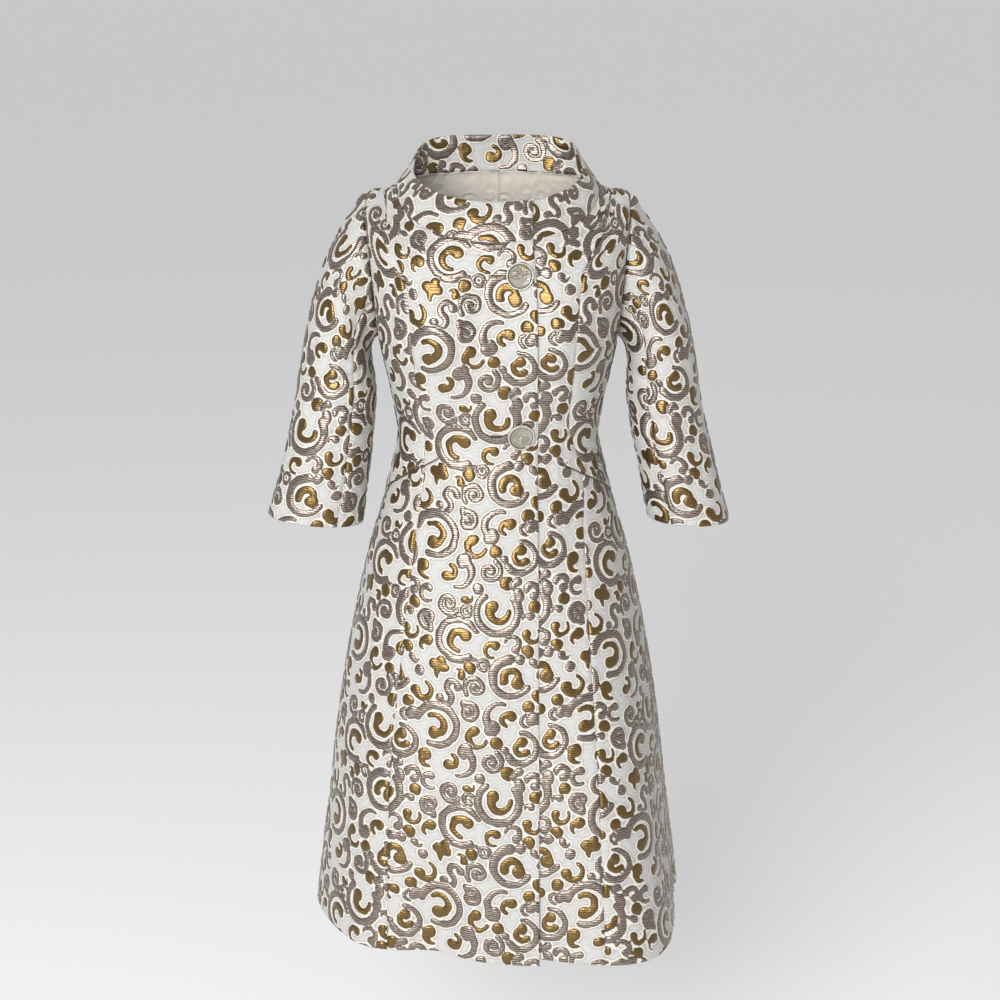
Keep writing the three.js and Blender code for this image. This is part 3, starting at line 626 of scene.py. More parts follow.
def brocadeMaterial():
    look = brocadeLook
    sheet = NodeSheet("ivoryScrollBrocade")
    charted = sheet.add("ShaderNodeAttribute", attribute_name="motif").outputs["Fac"]
    gold = sheet.add("ShaderNodeAttribute", attribute_name="gold").outputs["Fac"]
    uv = sheet.add("ShaderNodeUVMap", uv_map="cloth").outputs[0]
    parts = sheet.add("ShaderNodeSeparateXYZ", {0: uv})
    patch = sheet.noise(uv, (260.0, 260.0, 1.0), 2.0)
    slub = sheet.noise(uv, (90.0, 900.0, 1.0), 3.0)
    crinkle = sheet.noise(uv, (150.0, 95.0, 1.0), 2.0)
    weft = sheet.noise(uv, (600.0, 2600.0, 1.0), 1.0)
    # The weave ends in short fringes across the cloth.
    motif = sheet.math("ADD", charted, sheet.math("MULTIPLY_ADD", slub, look["ragged"],
        -0.5 * look["ragged"]))
    # Ribs run across the cloth and break up a little.
    bent = sheet.math("MULTIPLY_ADD", patch, 0.0028, parts.outputs[1])
    wave = sheet.math("SINE", sheet.math("MULTIPLY", bent, 2 * math.pi / look["ribStep"]))
    rib = sheet.math("ADD", sheet.math("MULTIPLY", wave, 0.34), sheet.math("MULTIPLY_ADD", slub, 1.2,
        -0.1))
    ribShare = sheet.ramp(rib, 0.05, 0.95)
    inMotif = sheet.ramp(motif, -0.25, 0.35)
    isGold = sheet.ramp(gold, 0.4, 0.6)
    taupe = sheet.mix(ribShare, look["taupeDark"], look["taupePale"])
    brown = sheet.mix(sheet.math("MULTIPLY_ADD", ribShare, 0.45, sheet.math("MULTIPLY", weft, 0.3)),
        look["goldDark"], look["goldPale"])
    thread = sheet.mix(isGold, taupe, brown)
    # A painted shade darkens the inner edge of each shape where it dips into its groove.
    rim = sheet.math("SUBTRACT", 1.0, sheet.ramp(motif, 0.3, 1.5))
    thread = sheet.mix(sheet.math("MULTIPLY", rim, 0.5), thread, look["grooveShade"])
    ground = sheet.mix(sheet.ramp(slub, 0.3, 0.65), look["groundShade"], look["ground"])
    # A painted highlight on the raised ridge just round each shape; the same mask lifts that ridge in the bump
    # below.
    ridgeHighlight = sheet.ramp(motif, -2.5, -1.5)
    # A painted shadow line on the ground just outside the raised ridge round each shape.
    nearLine = sheet.math("MULTIPLY", sheet.ramp(motif, -4.0, -2.9),
        sheet.math("SUBTRACT", 1.0, sheet.ramp(motif, -2.7, -1.8)))
    ground = sheet.mix(sheet.math("MULTIPLY", nearLine, 0.42), ground, look["shadow"])
    ground = sheet.mix(sheet.math("MULTIPLY", ridgeHighlight, 0.85), ground, look["ridgeHighlight"])
    sheet.out("Base Color", sheet.mix(inMotif, ground, thread))
    metal = sheet.math("MULTIPLY_ADD", isGold, look["goldMetal"] - look["taupeMetal"], look["taupeMetal"])
    sheet.out("Metallic", sheet.math("MULTIPLY", inMotif, metal))
    rough = look["roughness"]
    threadRough = sheet.math("MULTIPLY_ADD", isGold, rough["gold"] - rough["taupe"], rough["taupe"])
    roughness = sheet.math("ADD", rough["ground"], sheet.math("MULTIPLY", inMotif,
        sheet.math("SUBTRACT", threadRough, rough["ground"])))
    sheet.out("Roughness", sheet.math("MULTIPLY_ADD", slub, 0.12, sheet.math("SUBTRACT", roughness,
        0.06)))
    bump = look["bump"]
    raised = sheet.math("ADD", sheet.ramp(motif, -0.5, 1.5), sheet.math("MULTIPLY", ridgeHighlight, bump["ridgeHighlight"]))
    height = sheet.math("ADD", raised, sheet.math("MULTIPLY", sheet.math("MULTIPLY", rib, inMotif), bump["rib"]))
    height = sheet.math("ADD", height, sheet.math("MULTIPLY", slub, bump["slub"]))
    height = sheet.math("ADD", height, sheet.math("MULTIPLY", crinkle, bump["crinkle"]))
    height = sheet.math("ADD", height, sheet.math("MULTIPLY", weft, bump["weft"]))
    settings = {"Height": height, "Strength": 1.0, "Distance": bump["deep"]}
    raisedWeave = sheet.add("ShaderNodeBump", settings)
    sheet.out("Normal", raisedWeave.outputs[0])
    sheet.out("Sheen Weight", look["sheen"])
    sheet.out("Sheen Roughness", look["sheenRoughness"])
    return sheet.material


def innerMaterial():
    sheet = NodeSheet("clothBack")
    uv = sheet.add("ShaderNodeUVMap", uv_map="cloth").outputs[0]
    grain = sheet.noise(uv, (900.0, 250.0, 1.0), 3.0)
    sheet.out("Base Color", sheet.mix(grain, (0.52, 0.48, 0.42, 1), (0.68, 0.64, 0.57, 1)))
    sheet.out("Roughness", sheet.math("MULTIPLY_ADD", grain, 0.2, 0.66))
    sheet.out("Normal", sheet.add("ShaderNodeBump", {"Height": grain, "Strength": 0.35,
        "Distance": 0.0003}).outputs[0])
    return sheet.material


# The slope ring is painted dark as the shade seen in the clear plastic, and the rim is painted pale as a
# highlight; the dish keeps the plastic's own pale tint.
buttonLook = {
    "dish": {"dark": (0.30, 0.28, 0.22, 1), "pale": (0.50, 0.47, 0.40, 1), "alpha": 0.30},
    "slope": {"dark": (0.05, 0.042, 0.03, 1), "pale": (0.13, 0.115, 0.085, 1), "alpha": 0.85},
    "rim": {"dark": (0.42, 0.39, 0.32, 1), "pale": (0.66, 0.63, 0.55, 1), "alpha": 0.72},
}


def buttonMaterial(zone):
    look = buttonLook[zone]
    sheet = NodeSheet("clearButton" + zone.capitalize())
    coords = sheet.add("ShaderNodeTexCoord").outputs["Object"]
    streak = sheet.noise(coords, (140.0, 140.0, 140.0), 3.0)
    facing = sheet.add("ShaderNodeLayerWeight", {"Blend": 0.3}).outputs["Facing"]
    sheet.out("Base Color", sheet.mix(streak, look["dark"], look["pale"]))
    sheet.out("Roughness", sheet.math("MULTIPLY_ADD", streak, 0.05, 0.03))
    sheet.out("Alpha", sheet.math("MULTIPLY_ADD", facing, 0.95 - look["alpha"], look["alpha"]))
    sheet.out("IOR", 1.49)
    sheet.out("Specular IOR Level", 0.9)
    return sheet.material


def threadMaterial(name, dark, pale):
    sheet = NodeSheet(name)
    coords = sheet.add("ShaderNodeTexCoord").outputs["Object"]
    twist = sheet.noise(coords, (2400.0, 2400.0, 2400.0), 2.0)
    sheet.out("Base Color", sheet.mix(twist, dark, pale))
    sheet.out("Roughness", sheet.math("MULTIPLY_ADD", twist, 0.2, 0.6))
    sheet.out("Normal", sheet.add("ShaderNodeBump", {"Height": twist, "Strength": 0.5,
        "Distance": 0.0002}).outputs[0])
    return sheet.material


brocade = brocadeMaterial()
clothBack = innerMaterial()
clearPlastics = [buttonMaterial(zone) for zone in ("dish", "slope", "rim")]
sewingThread = threadMaterial("sewingThread", (0.40, 0.35, 0.28, 1), (0.66, 0.61, 0.52, 1))
# The buttonhole thread is brown, and painted darker still for the shadow in the slit.
edgeThreadAndShadow = threadMaterial("edgeThreadAndShadow", (0.07, 0.05, 0.035, 1), (0.17, 0.125, 0.085, 1))
clothPair = (brocade, clothBack)
print("materials made")

# Body panels.

buttons = [
    {"name": "upper", "x": 29, "z": -108},
    {"name": "lower", "x": 31, "z": -327},
]
buttonhole = {"left": -9.5, "right": 31.5, "half": 1.1}


def panelGrid(lowTurn, highTurn, rows, step):
    # A grid of turns and rows between two edge lines, with its points.
    middle = rows[len(rows) // 2]
    guess = bodyPoint(np.linspace(lowTurn(np.array(middle)), highTurn(np.array(middle)), 60), middle)
    widest = bodyPoint(np.linspace(lowTurn(np.array(rows[-1])), highTurn(np.array(rows[-1])), 60),
        rows[-1])
    width = max(np.linalg.norm(np.diff(line, axis=0), axis=-1).sum() for line in (guess, widest))
    shares = spacedShares(0.5 * (width + np.linalg.norm(np.diff(guess, axis=0), axis=-1).sum()), step)
    low = lowTurn(rows)[:, None]
    high = highTurn(rows)[:, None]
    return low + (high - low) * shares[None, :], np.broadcast_to(rows[:, None],
        (len(rows), len(shares))).copy()


foldedEdge = {"raise": 0.8, "reach": 14.0}
pocketLip = {"half": 0.85, "raise": 0.8, "sink": 2.2, "upReach": 16.0, "downReach": 26.0}


def pocketOffset(side, turn, at, reachFade=1.0):
    # The upper lip of a pocket stands out a little and the lower one lies deeper.
    line = pocketRow(side, turn)
    away = (at - line) * 58.0
    above = np.where(away <= 0, pocketLip["raise"] * np.exp(away / pocketLip["upReach"]), 0)
    below = np.where(away > 0, -pocketLip["sink"] * np.exp(-away / pocketLip["downReach"]), 0)
    return (above + below) * reachFade


def keepNearEdge(side, turn, at):
    # Keeps the columns of a front upright near the closing where the seam runs off to the shoulder.
    freeEdge = turn[:, -1:] if side < 0 else turn[:, :1]
    seamEdge = turn[:, :1] if side < 0 else turn[:, -1:]
    span = seamEdge - freeEdge
    share = (turn - freeEdge) / span
    usual = np.interp(2.3, at[:, 0], span[:, 0])
    power = 1 + 3 * (1 - smooth(1.8, 3.6, at))
    moved = share * usual + (span - usual) * share ** power
    return freeEdge + np.where(power > 1.001, moved, span * share)


def makeFront(side):
    # side is 1 for the wearer's left front, which lies under, and -1 for the right one on top.
    line = float(pocketRow(side, np.array(float(frontSeam(side, 8.3)))))
    half = pocketLip["half"] / 58.0
    extra = [line - half, line + half]
    if side < 0:
        for spot in buttons:
            at = float(rowAtZ(0.0, float(spot["z"])))
            drop = float(bodyPoint(0.0, at - 0.01)[2] - bodyPoint(0.0, at + 0.01)[2]) / 0.02
            extra += [at - buttonhole["half"] / drop, at + buttonhole["half"] / drop]

    def seam(at):
        return side * (frontSeam(side, at) - 0.0002)

    def free(at):
        return turnAtX(column(body, "closing", at) - (underlap["width"] if side > 0 else 0), at)

    low, high = (seam, free) if side < 0 else (free, seam)
    rows = rowsByLength(lambda at: turnAtX(40.0 + 0 * at, at), 0, hemRow, cloth["step"], extra)
    turn, at = panelGrid(low, high, rows, cloth["step"])
    turn = keepNearEdge(side, turn, at)
    # Rows near the pocket line bend to follow it.
    seamTurn = frontSeam(side, at)
    inward = (seamTurn - side * turn) * 145
    follow = 1 - smooth(pockets[side]["reach"], pockets[side]["reach"] + 45, inward)
    bend = (pocketRow(side, turn[rows.searchsorted(line)]) - line)[None, :] * follow
    at = at + bend * np.exp(-((at - line) / 0.8) ** 2)
    points = bodyPoint(turn, at)
    fade = 1 - smooth(pockets[side]["reach"] - 8, pockets[side]["reach"] + 4, inward)
    offsets = pocketOffset(side, turn, at, fade) * np.exp(-((at - line) / 1.2) ** 2)
    if side < 0:
        offsets = (offsets + foldedEdge["raise"]
            * np.exp(-((column(body, "closing", at) - points[..., 0]) / foldedEdge["reach"]) ** 2))
    if side > 0:
        closing = column(body, "closing", at)
        offsets = offsets - underlap["sink"] * (1 - smooth(closing + underlap["near"],
            closing + underlap["far"], points[..., 0]))
    else:
        drop = (smooth(cornerDrop["fromX"], cornerDrop["toX"], points[..., 0])
            * smooth(cornerDrop["fromRow"], cornerDrop["toRow"], at))
        points[..., 1] -= cornerDrop["forward"] * drop
        points[..., 2] -= cornerDrop["depth"] * drop
    holes = np.zeros((points.shape[0] - 1, points.shape[1] - 1), bool)
    cellRow = (at[:-1, :-1] + at[1:, :-1]) / 2
    nearLine = np.abs(cellRow - pocketRow(side, turn[:-1, :-1])) < 0.7 * half
    slit = nearLine & (inward[:-1, :-1] < pockets[side]["reach"])
    holes |= slit
    if side < 0:
        for k in range(len(buttons)):
            top = np.argmin(np.abs(rows - extra[2 + 2 * k]))
            x = points[top, :-1, 0]
            holes[top] |= (x > buttonhole["left"]) & (x < buttonhole["right"])
    name = "frontRight" if side < 0 else "frontLeft"
    kinds = ("seam", "edge", "seam", "edge") if side < 0 else ("edge", "seam", "seam", "edge")
    start = (31.0, 12.0) if side < 0 else (112.0, 20.0)
    weave = hungWeave(points, turn, at, 1.0 if side < 0 else 0.0, start)
    piece = clothPiece(name, points, gridLengths(points), weave, kinds, offsets, holes,
        materials=clothPair)
    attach(piece, "root")
    return piece


def makeSideFront(side, part):
    # The side piece between the front seam and the side seam, above or below the pocket line.
    half = pocketLip["half"] / 58.0

    def seam(at):
        return frontSeam(side, at) + 0.0002

    def outer(at):
        return np.maximum(quarter - armTurn(at, "front") - 0.0002, seam(at) + 0.0006)

    probe = 8.8
    guess = seam(probe), outer(probe)
    widths = spacedShares(105 if part == "Upper" else 150, cloth["step"])
    lines = pocketRow(side, side * (guess[0] + (guess[1] - guess[0]) * widths))
    if part == "Upper":
        rows = rowsByLength(lambda at: side * outer(at), 1.1, 7.4, cloth["step"])
        share = np.linspace(0, 1, 22)[1:]
        at = np.concatenate([np.repeat(rows[:, None], len(widths), 1),
            7.4 + share[:, None] * (lines - half - 7.4)[None, :]], 0)
    else:
        rows = rowsByLength(lambda at: side * outer(at), 10.4, hemRow, cloth["step"])
        share = spacedShares(90, cloth["step"])[:-4]
        share = np.concatenate([share, [0.985]])
        first = (lines + half)[None, :] + share[:, None] * (10.4 - (lines + half))[None, :]
        at = np.concatenate([first, np.repeat(rows[:, None], len(widths), 1)], 0)
    near = seam(at)
    far = outer(at)
    turn = side * (near + (far - near) * widths[None, :])
    if side < 0:
        turn = turn[:, ::-1]
        at = at[:, ::-1]
    points = bodyPoint(turn, at)
    offsets = pocketOffset(side, turn, at)
    kinds = ("seam", "seam", "seam" if part == "Upper" else "edge", "edge")
    name = "sideFront" + part + ("Left" if side > 0 else "Right")
    weave = hungWeave(points, turn, at, 0.5, (95.0 + 20 * side, 12.0 if part == "Upper" else 100.0))
    piece = clothPiece(name, points, gridLengths(points), weave, kinds, offsets, materials=clothPair)
    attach(piece, "root")
    return piece


def makeBack(side):
    def near(at):
        return quarter + armTurn(at, "back") + 0.0002

    def middle(at):
        return 2 * quarter - 0.0002 + 0 * at

    low, high = (near, middle) if side > 0 else (lambda at: -middle(at), lambda at: -near(at))
    rows = rowsByLength(lambda at: side * (quarter + 0.6) + 0 * at, 0, hemRow, cloth["backStep"])
    turn, at = panelGrid(low, high, rows, cloth["backStep"])
    points = bodyPoint(turn, at)
    name = "backLeft" if side > 0 else "backRight"
    weave = hungWeave(points, turn, at, 1.0 if side > 0 else 0.0, (60.0 + 25 * side, 5.0))
    piece = clothPiece(name, points, gridLengths(points), weave, ("seam", "seam", "seam", "edge"),
        materials=clothPair)
    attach(piece, "root")
    return piece


# Sleeves.

sleeveColumns = ("z", "centreLeft", "halfLeft", "centreRight", "halfRight", "centreY", "halfDepth")
sleeveRows = [
    (-300, 233, 52, 228, 56.5, 0, 58),
    (-350, 243, 54, 235, 59, -3, 56),
    (-408, 256.5, 55, 246, 62.5, -7, 52),
    (-470, 271, 57.5, 259.5, 67.5, -12, 48),
]
sleeve = {name: np.array([row[k] for row in sleeveRows], float) for k, name in enumerate(sleeveColumns)}
cap = {"top": (0.72, 0, -0.69), "bottom": (0.88, 0, -0.48), "axis": (0.167, -0.05, -0.985),
    "forward": 0.32, "clear": 0.3, "thick": 1.5}
cuffTilt = {1: -2, -1: 6.5}


def unit(vectors):
    return vectors / np.linalg.norm(vectors, axis=-1, keepdims=True)


def armholeLine(place):
    at = tipRow + (underarmRow - tipRow) * (1 - np.cos(place)) / 2
    span = np.where(np.sin(place) > 0, armhole["front"], armhole["back"])
    return quarter - span * np.sin(place), at


def sleeveStart(place):
    turn, at = armholeLine(place)
    point = bodyPoint(turn, at)
    small = 0.002
    across = bodyPoint(turn + small, at) - bodyPoint(turn - small, at)
    down = bodyPoint(turn, at + small) - bodyPoint(turn, at - small)
    bodyNormal = unit(np.cross(down, across))
    ahead = bodyPoint(*armholeLine(place + 0.01))
    behind = bodyPoint(*armholeLine(place - 0.01))
    along = unit(ahead - behind)
    away = unit(np.cross(bodyNormal, along))
    hole = bodyPoint(quarter, (tipRow + underarmRow) / 2)
    away = away * np.where(((hole - point) * away).sum(-1, keepdims=True) < 0, -1, 1)
    low = ((1 - np.cos(place)) / 2)[..., None]
    way = np.array(cap["top"]) * (1 - low) + np.array(cap["bottom"]) * low
    way[..., 1] -= cap["forward"] * np.sin(place)
    way = unit(way)
    sleeveNormal = unit(np.cross(along, way))
    lean = np.maximum((sleeveNormal * away).sum(-1, keepdims=True), 0)
    return point + away * (cap["clear"] + cap["thick"] * lean), way


def sleeveSection(side, place, at):
    suffix = "Left" if side > 0 else "Right"
    across = np.cos(place)
    tilt = cuffTilt[side] * np.minimum(at / (len(sleeveRows) - 1), 1)
    x = column(sleeve, "centre" + suffix, at) + column(sleeve, "half" + suffix, at) * across
    y = column(sleeve, "centreY", at) - column(sleeve, "halfDepth", at) * np.sin(place)
    z = column(sleeve, "z", at) + tilt * across
    return np.stack(np.broadcast_arrays(x, y, z), -1)


def sleevePoint(side, place, w):
    # place runs round the arm from the top to the front; w runs down, 0 to 1 on the cap, then the sections.
    start, way = sleeveStart(place)
    end = sleeveSection(side, place, 0 * place)
    length = np.linalg.norm(end - start, axis=-1, keepdims=True)
    f = np.clip(w, 0, 1)[..., None]
    f2 = f * f
    f3 = f2 * f
    capCurve = ((2 * f3 - 3 * f2 + 1) * start + (f3 - 2 * f2 + f) * length * way
        + (3 * f2 - 2 * f3) * end + (f3 - f2) * length * np.array(cap["axis"]))
    below = sleeveSection(side, place, np.maximum(w - 1, 0))
    return np.where((w > 1)[..., None], below, capCurve)


# Creases of the sleeves: side, place round the arm, height, tilt, half-length, half-width, depth.
sleeveCreases = [
    (-1, 100, -262, 20, 34, 5, 2.2),
    (-1, 112, -300, 12, 30, 5, 2.4),
    (-1, 95, -338, 4, 30, 5, 1.8),
    (-1, 128, -330, 25, 24, 4, 1.6),
    (1, 104, -270, 18, 32, 5, 2.0),
    (1, 98, -318, 8, 34, 5, 2.2),
    (1, 120, -352, 14, 26, 4, 1.6),
    (1, 250, -310, -10, 36, 6, 2.2),
    (-1, 250, -300, -12, 36, 6, 2.2),
]


def makeSleeve(side, part):
    fromPlace = -120 * degree if part == "Upper" else 120 * degree
    toPlace = 120 * degree if part == "Upper" else 240 * degree
    places = np.linspace(fromPlace, toPlace, 109 if part == "Upper" else 55)
    ends = np.array([0.25, 0.6]) * (places[1] - places[0])
    places = np.sort(np.concatenate([places, fromPlace + ends, toPlace - ends]))
    capRows = np.concatenate([[0, 0.0015, 0.004, 0.008, 0.014], np.linspace(0.022, 1, 92)])
    lowRows = 1 + (len(sleeveRows) - 1) * spacedShares(172, cloth["step"])[1:]
    rows = np.concatenate([capRows, lowRows[lowRows > 1.02]])
    place = np.broadcast_to(places[None, :], (len(rows), len(places))).copy()
    w = np.broadcast_to(rows[:, None], place.shape).copy()
    points = sleevePoint(side, place, w)
    u, v = gridLengths(points)
    offsets = np.zeros(place.shape)
    # Fullness eased into the head of the sleeve.
    head = np.exp(-((v - 11) / 13.0) ** 2) * (0.5 + 0.5 * np.cos(place))
    offsets += head * (1.4 + 1.3 * softNoise(place * 9, v * 0 + 5))
    for creaseSide, at, z, tilt, long, wide, depth in sleeveCreases:
        if creaseSide != side:
            continue
        turnAway = (place - at * degree + 2 * quarter) % (4 * quarter) - 2 * quarter
        along = turnAway * 55
        across = points[..., 2] - z - along * math.tan(tilt * degree)
        fade = np.exp(-(along / long) ** 4)
        offsets += fade * (-depth * np.exp(-(across / wide) ** 2)
            + 0.5 * depth * np.exp(-((across - 2.1 * wide) / (1.5 * wide)) ** 2))
    points[..., 0] *= side
    if side < 0:
        points = points[:, ::-1]
        offsets = offsets[:, ::-1]
    # The grid has to turn the other way round so that its faces look outwards.
    points = points[:, ::-1]
    offsets = offsets[:, ::-1]
    name = "sleeve" + part + ("Left" if side > 0 else "Right")
    lengths = gridLengths(points)
    start = (80.0 * side, 100.0) if part == "Upper" else (20.0 * side, 140.0)
    weave = (lengths[0] - 0.5 * lengths[0][:, -1:] + start[0], lengths[1] - lengths[1][-1:] + start[1])
    piece = clothPiece(name, points, lengths, weave, ("seam", "seam", "seam", "edge"), offsets,
        materials=clothPair)
    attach(piece, "root")
    return piece


# Collar.

collarTop = {"halfWidth": 115, "frontDepth": 88, "backDepth": 88, "middleZ": 21.5, "slope": 0.41,
    "square": 2.1, "backSquare": 3.8}
collarShape = {"overlap": 0.02, "cloth": 1.2, "gap": 0.3, "lift": 0.3, "bulge": 2.5, "sink": 3.4,
    "near": 6, "far": 34, "tuck": 30}


def collarPoint(turn, w):
    base = bodyPoint(turn, 0 * turn)
    isBack = np.cos(turn) < 0
    squarer = (collarTop["backSquare"] - collarTop["square"]) * smooth(0, 0.6, np.abs(np.cos(turn)))
    square = collarTop["square"] + np.where(isBack, squarer, 0)
    depth = np.where(isBack, collarTop["backDepth"], collarTop["frontDepth"])
    reach = ringReach(turn, collarTop["halfWidth"], depth, square)
    y = -reach * np.cos(turn)
    top = np.stack([reach * np.sin(turn), y, collarTop["middleZ"] + collarTop["slope"] * y], -1)
    away = unit(base - bodyPoint(turn, 0 * turn + 0.05))
    share = w[..., None]
    flat = np.stack([np.sin(turn), -np.cos(turn), 0 * turn], -1)
    return (base * (1 - share) + top * share + flat * collarShape["bulge"] * np.sin(math.pi * share)
        + away * collarShape["lift"] * (1 - share))


def collarFree(w, x):
    low = np.zeros(np.shape(w))
    high = np.full(np.shape(w), 80 * degree)
    for step in range(30):
        middle = (low + high) / 2
        short = collarPoint(middle, w)[..., 0] < x
        low = np.where(short, middle, low)
        high = np.where(short, high, middle)
    return low


def makeCollar(isFacing):
    w = spacedShares(54, 2.4)
    w = w - collarShape["overlap"] * (1 - w) ** 6
    closing = 46.0
    start = collarFree(w, closing - collarShape["tuck"])
    end = 4 * quarter + collarFree(w, closing)
    shares = spacedShares(690, 2.7)
    turn = start[:, None] + (end - start)[:, None] * shares[None, :]
    share = np.broadcast_to(w[:, None], turn.shape)
    points = collarPoint(turn, share)
    under = np.where(turn < quarter, 1 - smooth(closing + collarShape["near"],
        closing + collarShape["far"], points[..., 0]), 0)
    offsets = -collarShape["sink"] * under
    # Rows run from the top edge down, as on the body.
    points = points[::-1]
    offsets = offsets[::-1]
    if isFacing:
        inner = gridNormals(points) * (offsets - 2 * collarShape["cloth"] - collarShape["gap"])[..., None]
        points = (points + inner)[:, ::-1]
        offsets = np.zeros(offsets.shape)
    name = "collarFacing" if isFacing else "collarOuter"
    kinds = ("edge", "edge", "edge", "edge")
    lengths = gridLengths(points)
    across = np.broadcast_to(lengths[0].mean(0, keepdims=True), lengths[0].shape)
    weave = (across + 12, lengths[1] + (151 if isFacing else 62))
    piece = clothPiece(name, points, lengths, weave, kinds, offsets, wall=cloth["collarWall"],
        materials=(brocade,), relieved=0.6)
    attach(piece, "root")
    return piece


for side in (-1, 1):
    makeFront(side)
    makeSideFront(side, "Upper")
    makeSideFront(side, "Lower")
    makeBack(side)
    print("body panels made", side)
    makeSleeve(side, "Upper")
    makeSleeve(side, "Under")
    print("sleeve made", side)
makeCollar(False)
makeCollar(True)
print("collar made")

solidNames = {
    "frontRight": "front_right",
    "frontLeft": "front_left",
    "sideFrontUpperRight": "side_front_upper_right",
    "sideFrontUpperLeft": "side_front_upper_left",
    "sideFrontLowerRight": "side_front_lower_right",
    "sideFrontLowerLeft": "side_front_lower_left",
    "backRight": "back_right",
    "backLeft": "back_left",
    "sleeveUpperRight": "sleeve_upper_right",
    "sleeveUpperLeft": "sleeve_upper_left",
    "sleeveUnderRight": "sleeve_under_right",
    "sleeveUnderLeft": "sleeve_under_left",
    "collarOuter": "collar",
    "collarFacing": "collar_facing",
}
for name, made in pieces.items():
    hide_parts(solidNames[name])

# Buttons, their thread and the worked edges of the buttonholes.

buttonShape = {
    "radius": 18.0,
    "depth": 4.0,
    "standOff": 1.5,
    "rim": 1.6,
    "slope": 2.0,
    "slopeDepth": 1.2,
    "dish": 5.0,
    "dishDepth": 0.35,
    "back": 3.4,
    "round": 0.55,
    "hole": 1.1,
    "spread": 1.9,
}
threadShape = {"strand": 0.42, "apart": 0.45, "shank": 1.5, "below": -2.2, "edge": 0.5, "edgeAside": 1.5,
    "edgeLift": 0.2}


def buttonFrame(spot):
    # The frame of a button: its place on the cloth, then across, up and out.
    at = float(rowAtZ(float(spot["x"]), float(spot["z"])))
    turn = float(turnAtX(float(spot["x"]), at))
    small = 0.002
    aside = bodyPoint(turn + small, at) - bodyPoint(turn - small, at)
    down = bodyPoint(turn, at + small) - bodyPoint(turn, at - small)
    out = unit(np.cross(down, aside))
    across = unit(np.cross((0, 0, 1), out))
    up = unit(np.cross(out, across))
    frame4 = np.identity(4)
    frame4[:3, 0] = across
    frame4[:3, 1] = up
    frame4[:3, 2] = out
    frame4[:3, 3] = bodyPoint(turn, at) * millimetre
    return Matrix(frame4.tolist())


def selectFaces(part, test):
    # Selects the faces that pass the test and goes into edit mode with them.
    bpy.ops.object.mode_set(mode="EDIT")
    bpy.ops.mesh.select_mode(type="FACE")
    bpy.ops.mesh.select_all(action="DESELECT")
    bpy.ops.object.mode_set(mode="OBJECT")
    for face in part.data.polygons:
        face.select = test(face)
    bpy.ops.object.mode_set(mode="EDIT")


def applied(part, kind, **settings):
    modifier = part.modifiers.new(kind, kind)
    for key, value in settings.items():
        setattr(modifier, key, value)
    bpy.ops.object.modifier_apply(modifier=modifier.name)


def makeButton(spot):
    shape = {key: value * millimetre for key, value in buttonShape.items()}
    bpy.ops.object.select_all(action="DESELECT")
    bpy.ops.mesh.primitive_cylinder_add(vertices=64, radius=shape["radius"], depth=shape["depth"])
    button = bpy.context.active_object
    button.name = spot["name"] + "Button"
    selectFaces(button, lambda face: face.normal.z > 0.9)
    bpy.ops.mesh.inset(thickness=shape["rim"])
    bpy.ops.mesh.inset(thickness=shape["slope"], depth=-shape["slopeDepth"])
    bpy.ops.mesh.inset(thickness=shape["dish"], depth=-shape["dishDepth"])
    bpy.ops.object.mode_set(mode="OBJECT")
    selectFaces(button, lambda face: face.normal.z < -0.9)
    bpy.ops.mesh.inset(thickness=0.4 * shape["back"], depth=0)
    bpy.ops.mesh.inset(thickness=shape["back"], depth=0)
    bpy.ops.object.mode_set(mode="OBJECT")
    applied(button, "BEVEL", width=shape["round"], segments=3, limit_method="ANGLE", angle_limit=0.5)
    for aside in (-1, 1):
        bpy.ops.mesh.primitive_cylinder_add(vertices=24, radius=shape["hole"], depth=4 * shape["depth"],
            location=(aside * shape["spread"], 0, 0))
        drill = bpy.context.active_object
        bpy.context.view_layer.objects.active = button
        applied(button, "BOOLEAN", operation="DIFFERENCE", object=drill, solver="EXACT")
        bpy.data.objects.remove(drill)
    bpy.ops.object.select_all(action="DESELECT")
    button.select_set(True)
    bpy.context.view_layer.objects.active = button
    bpy.ops.object.shade_smooth_by_angle(angle=0.6)
    button.data.materials.clear()
    for plastic in clearPlastics:
        button.data.materials.append(plastic)
    dishEdge = shape["radius"] - shape["rim"] - shape["slope"]
    for face in button.data.polygons:
        away = math.hypot(face.center.x, face.center.y)
        onTop = face.normal.z > 0.05
        onSlope = onTop and away < dishEdge + shape["slope"]
        face.material_index = 0 if away < dishEdge else 1 if onSlope else 2
    button.matrix_world = buttonFrame(spot) @ Matrix.Translation((0, 0, shape["standOff"]
        + shape["depth"] / 2))
    bpy.ops.object.transform_apply(location=True, rotation=True, scale=True)
    button.select_set(False)
    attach(button, "root")
    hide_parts("button_" + spot["name"])


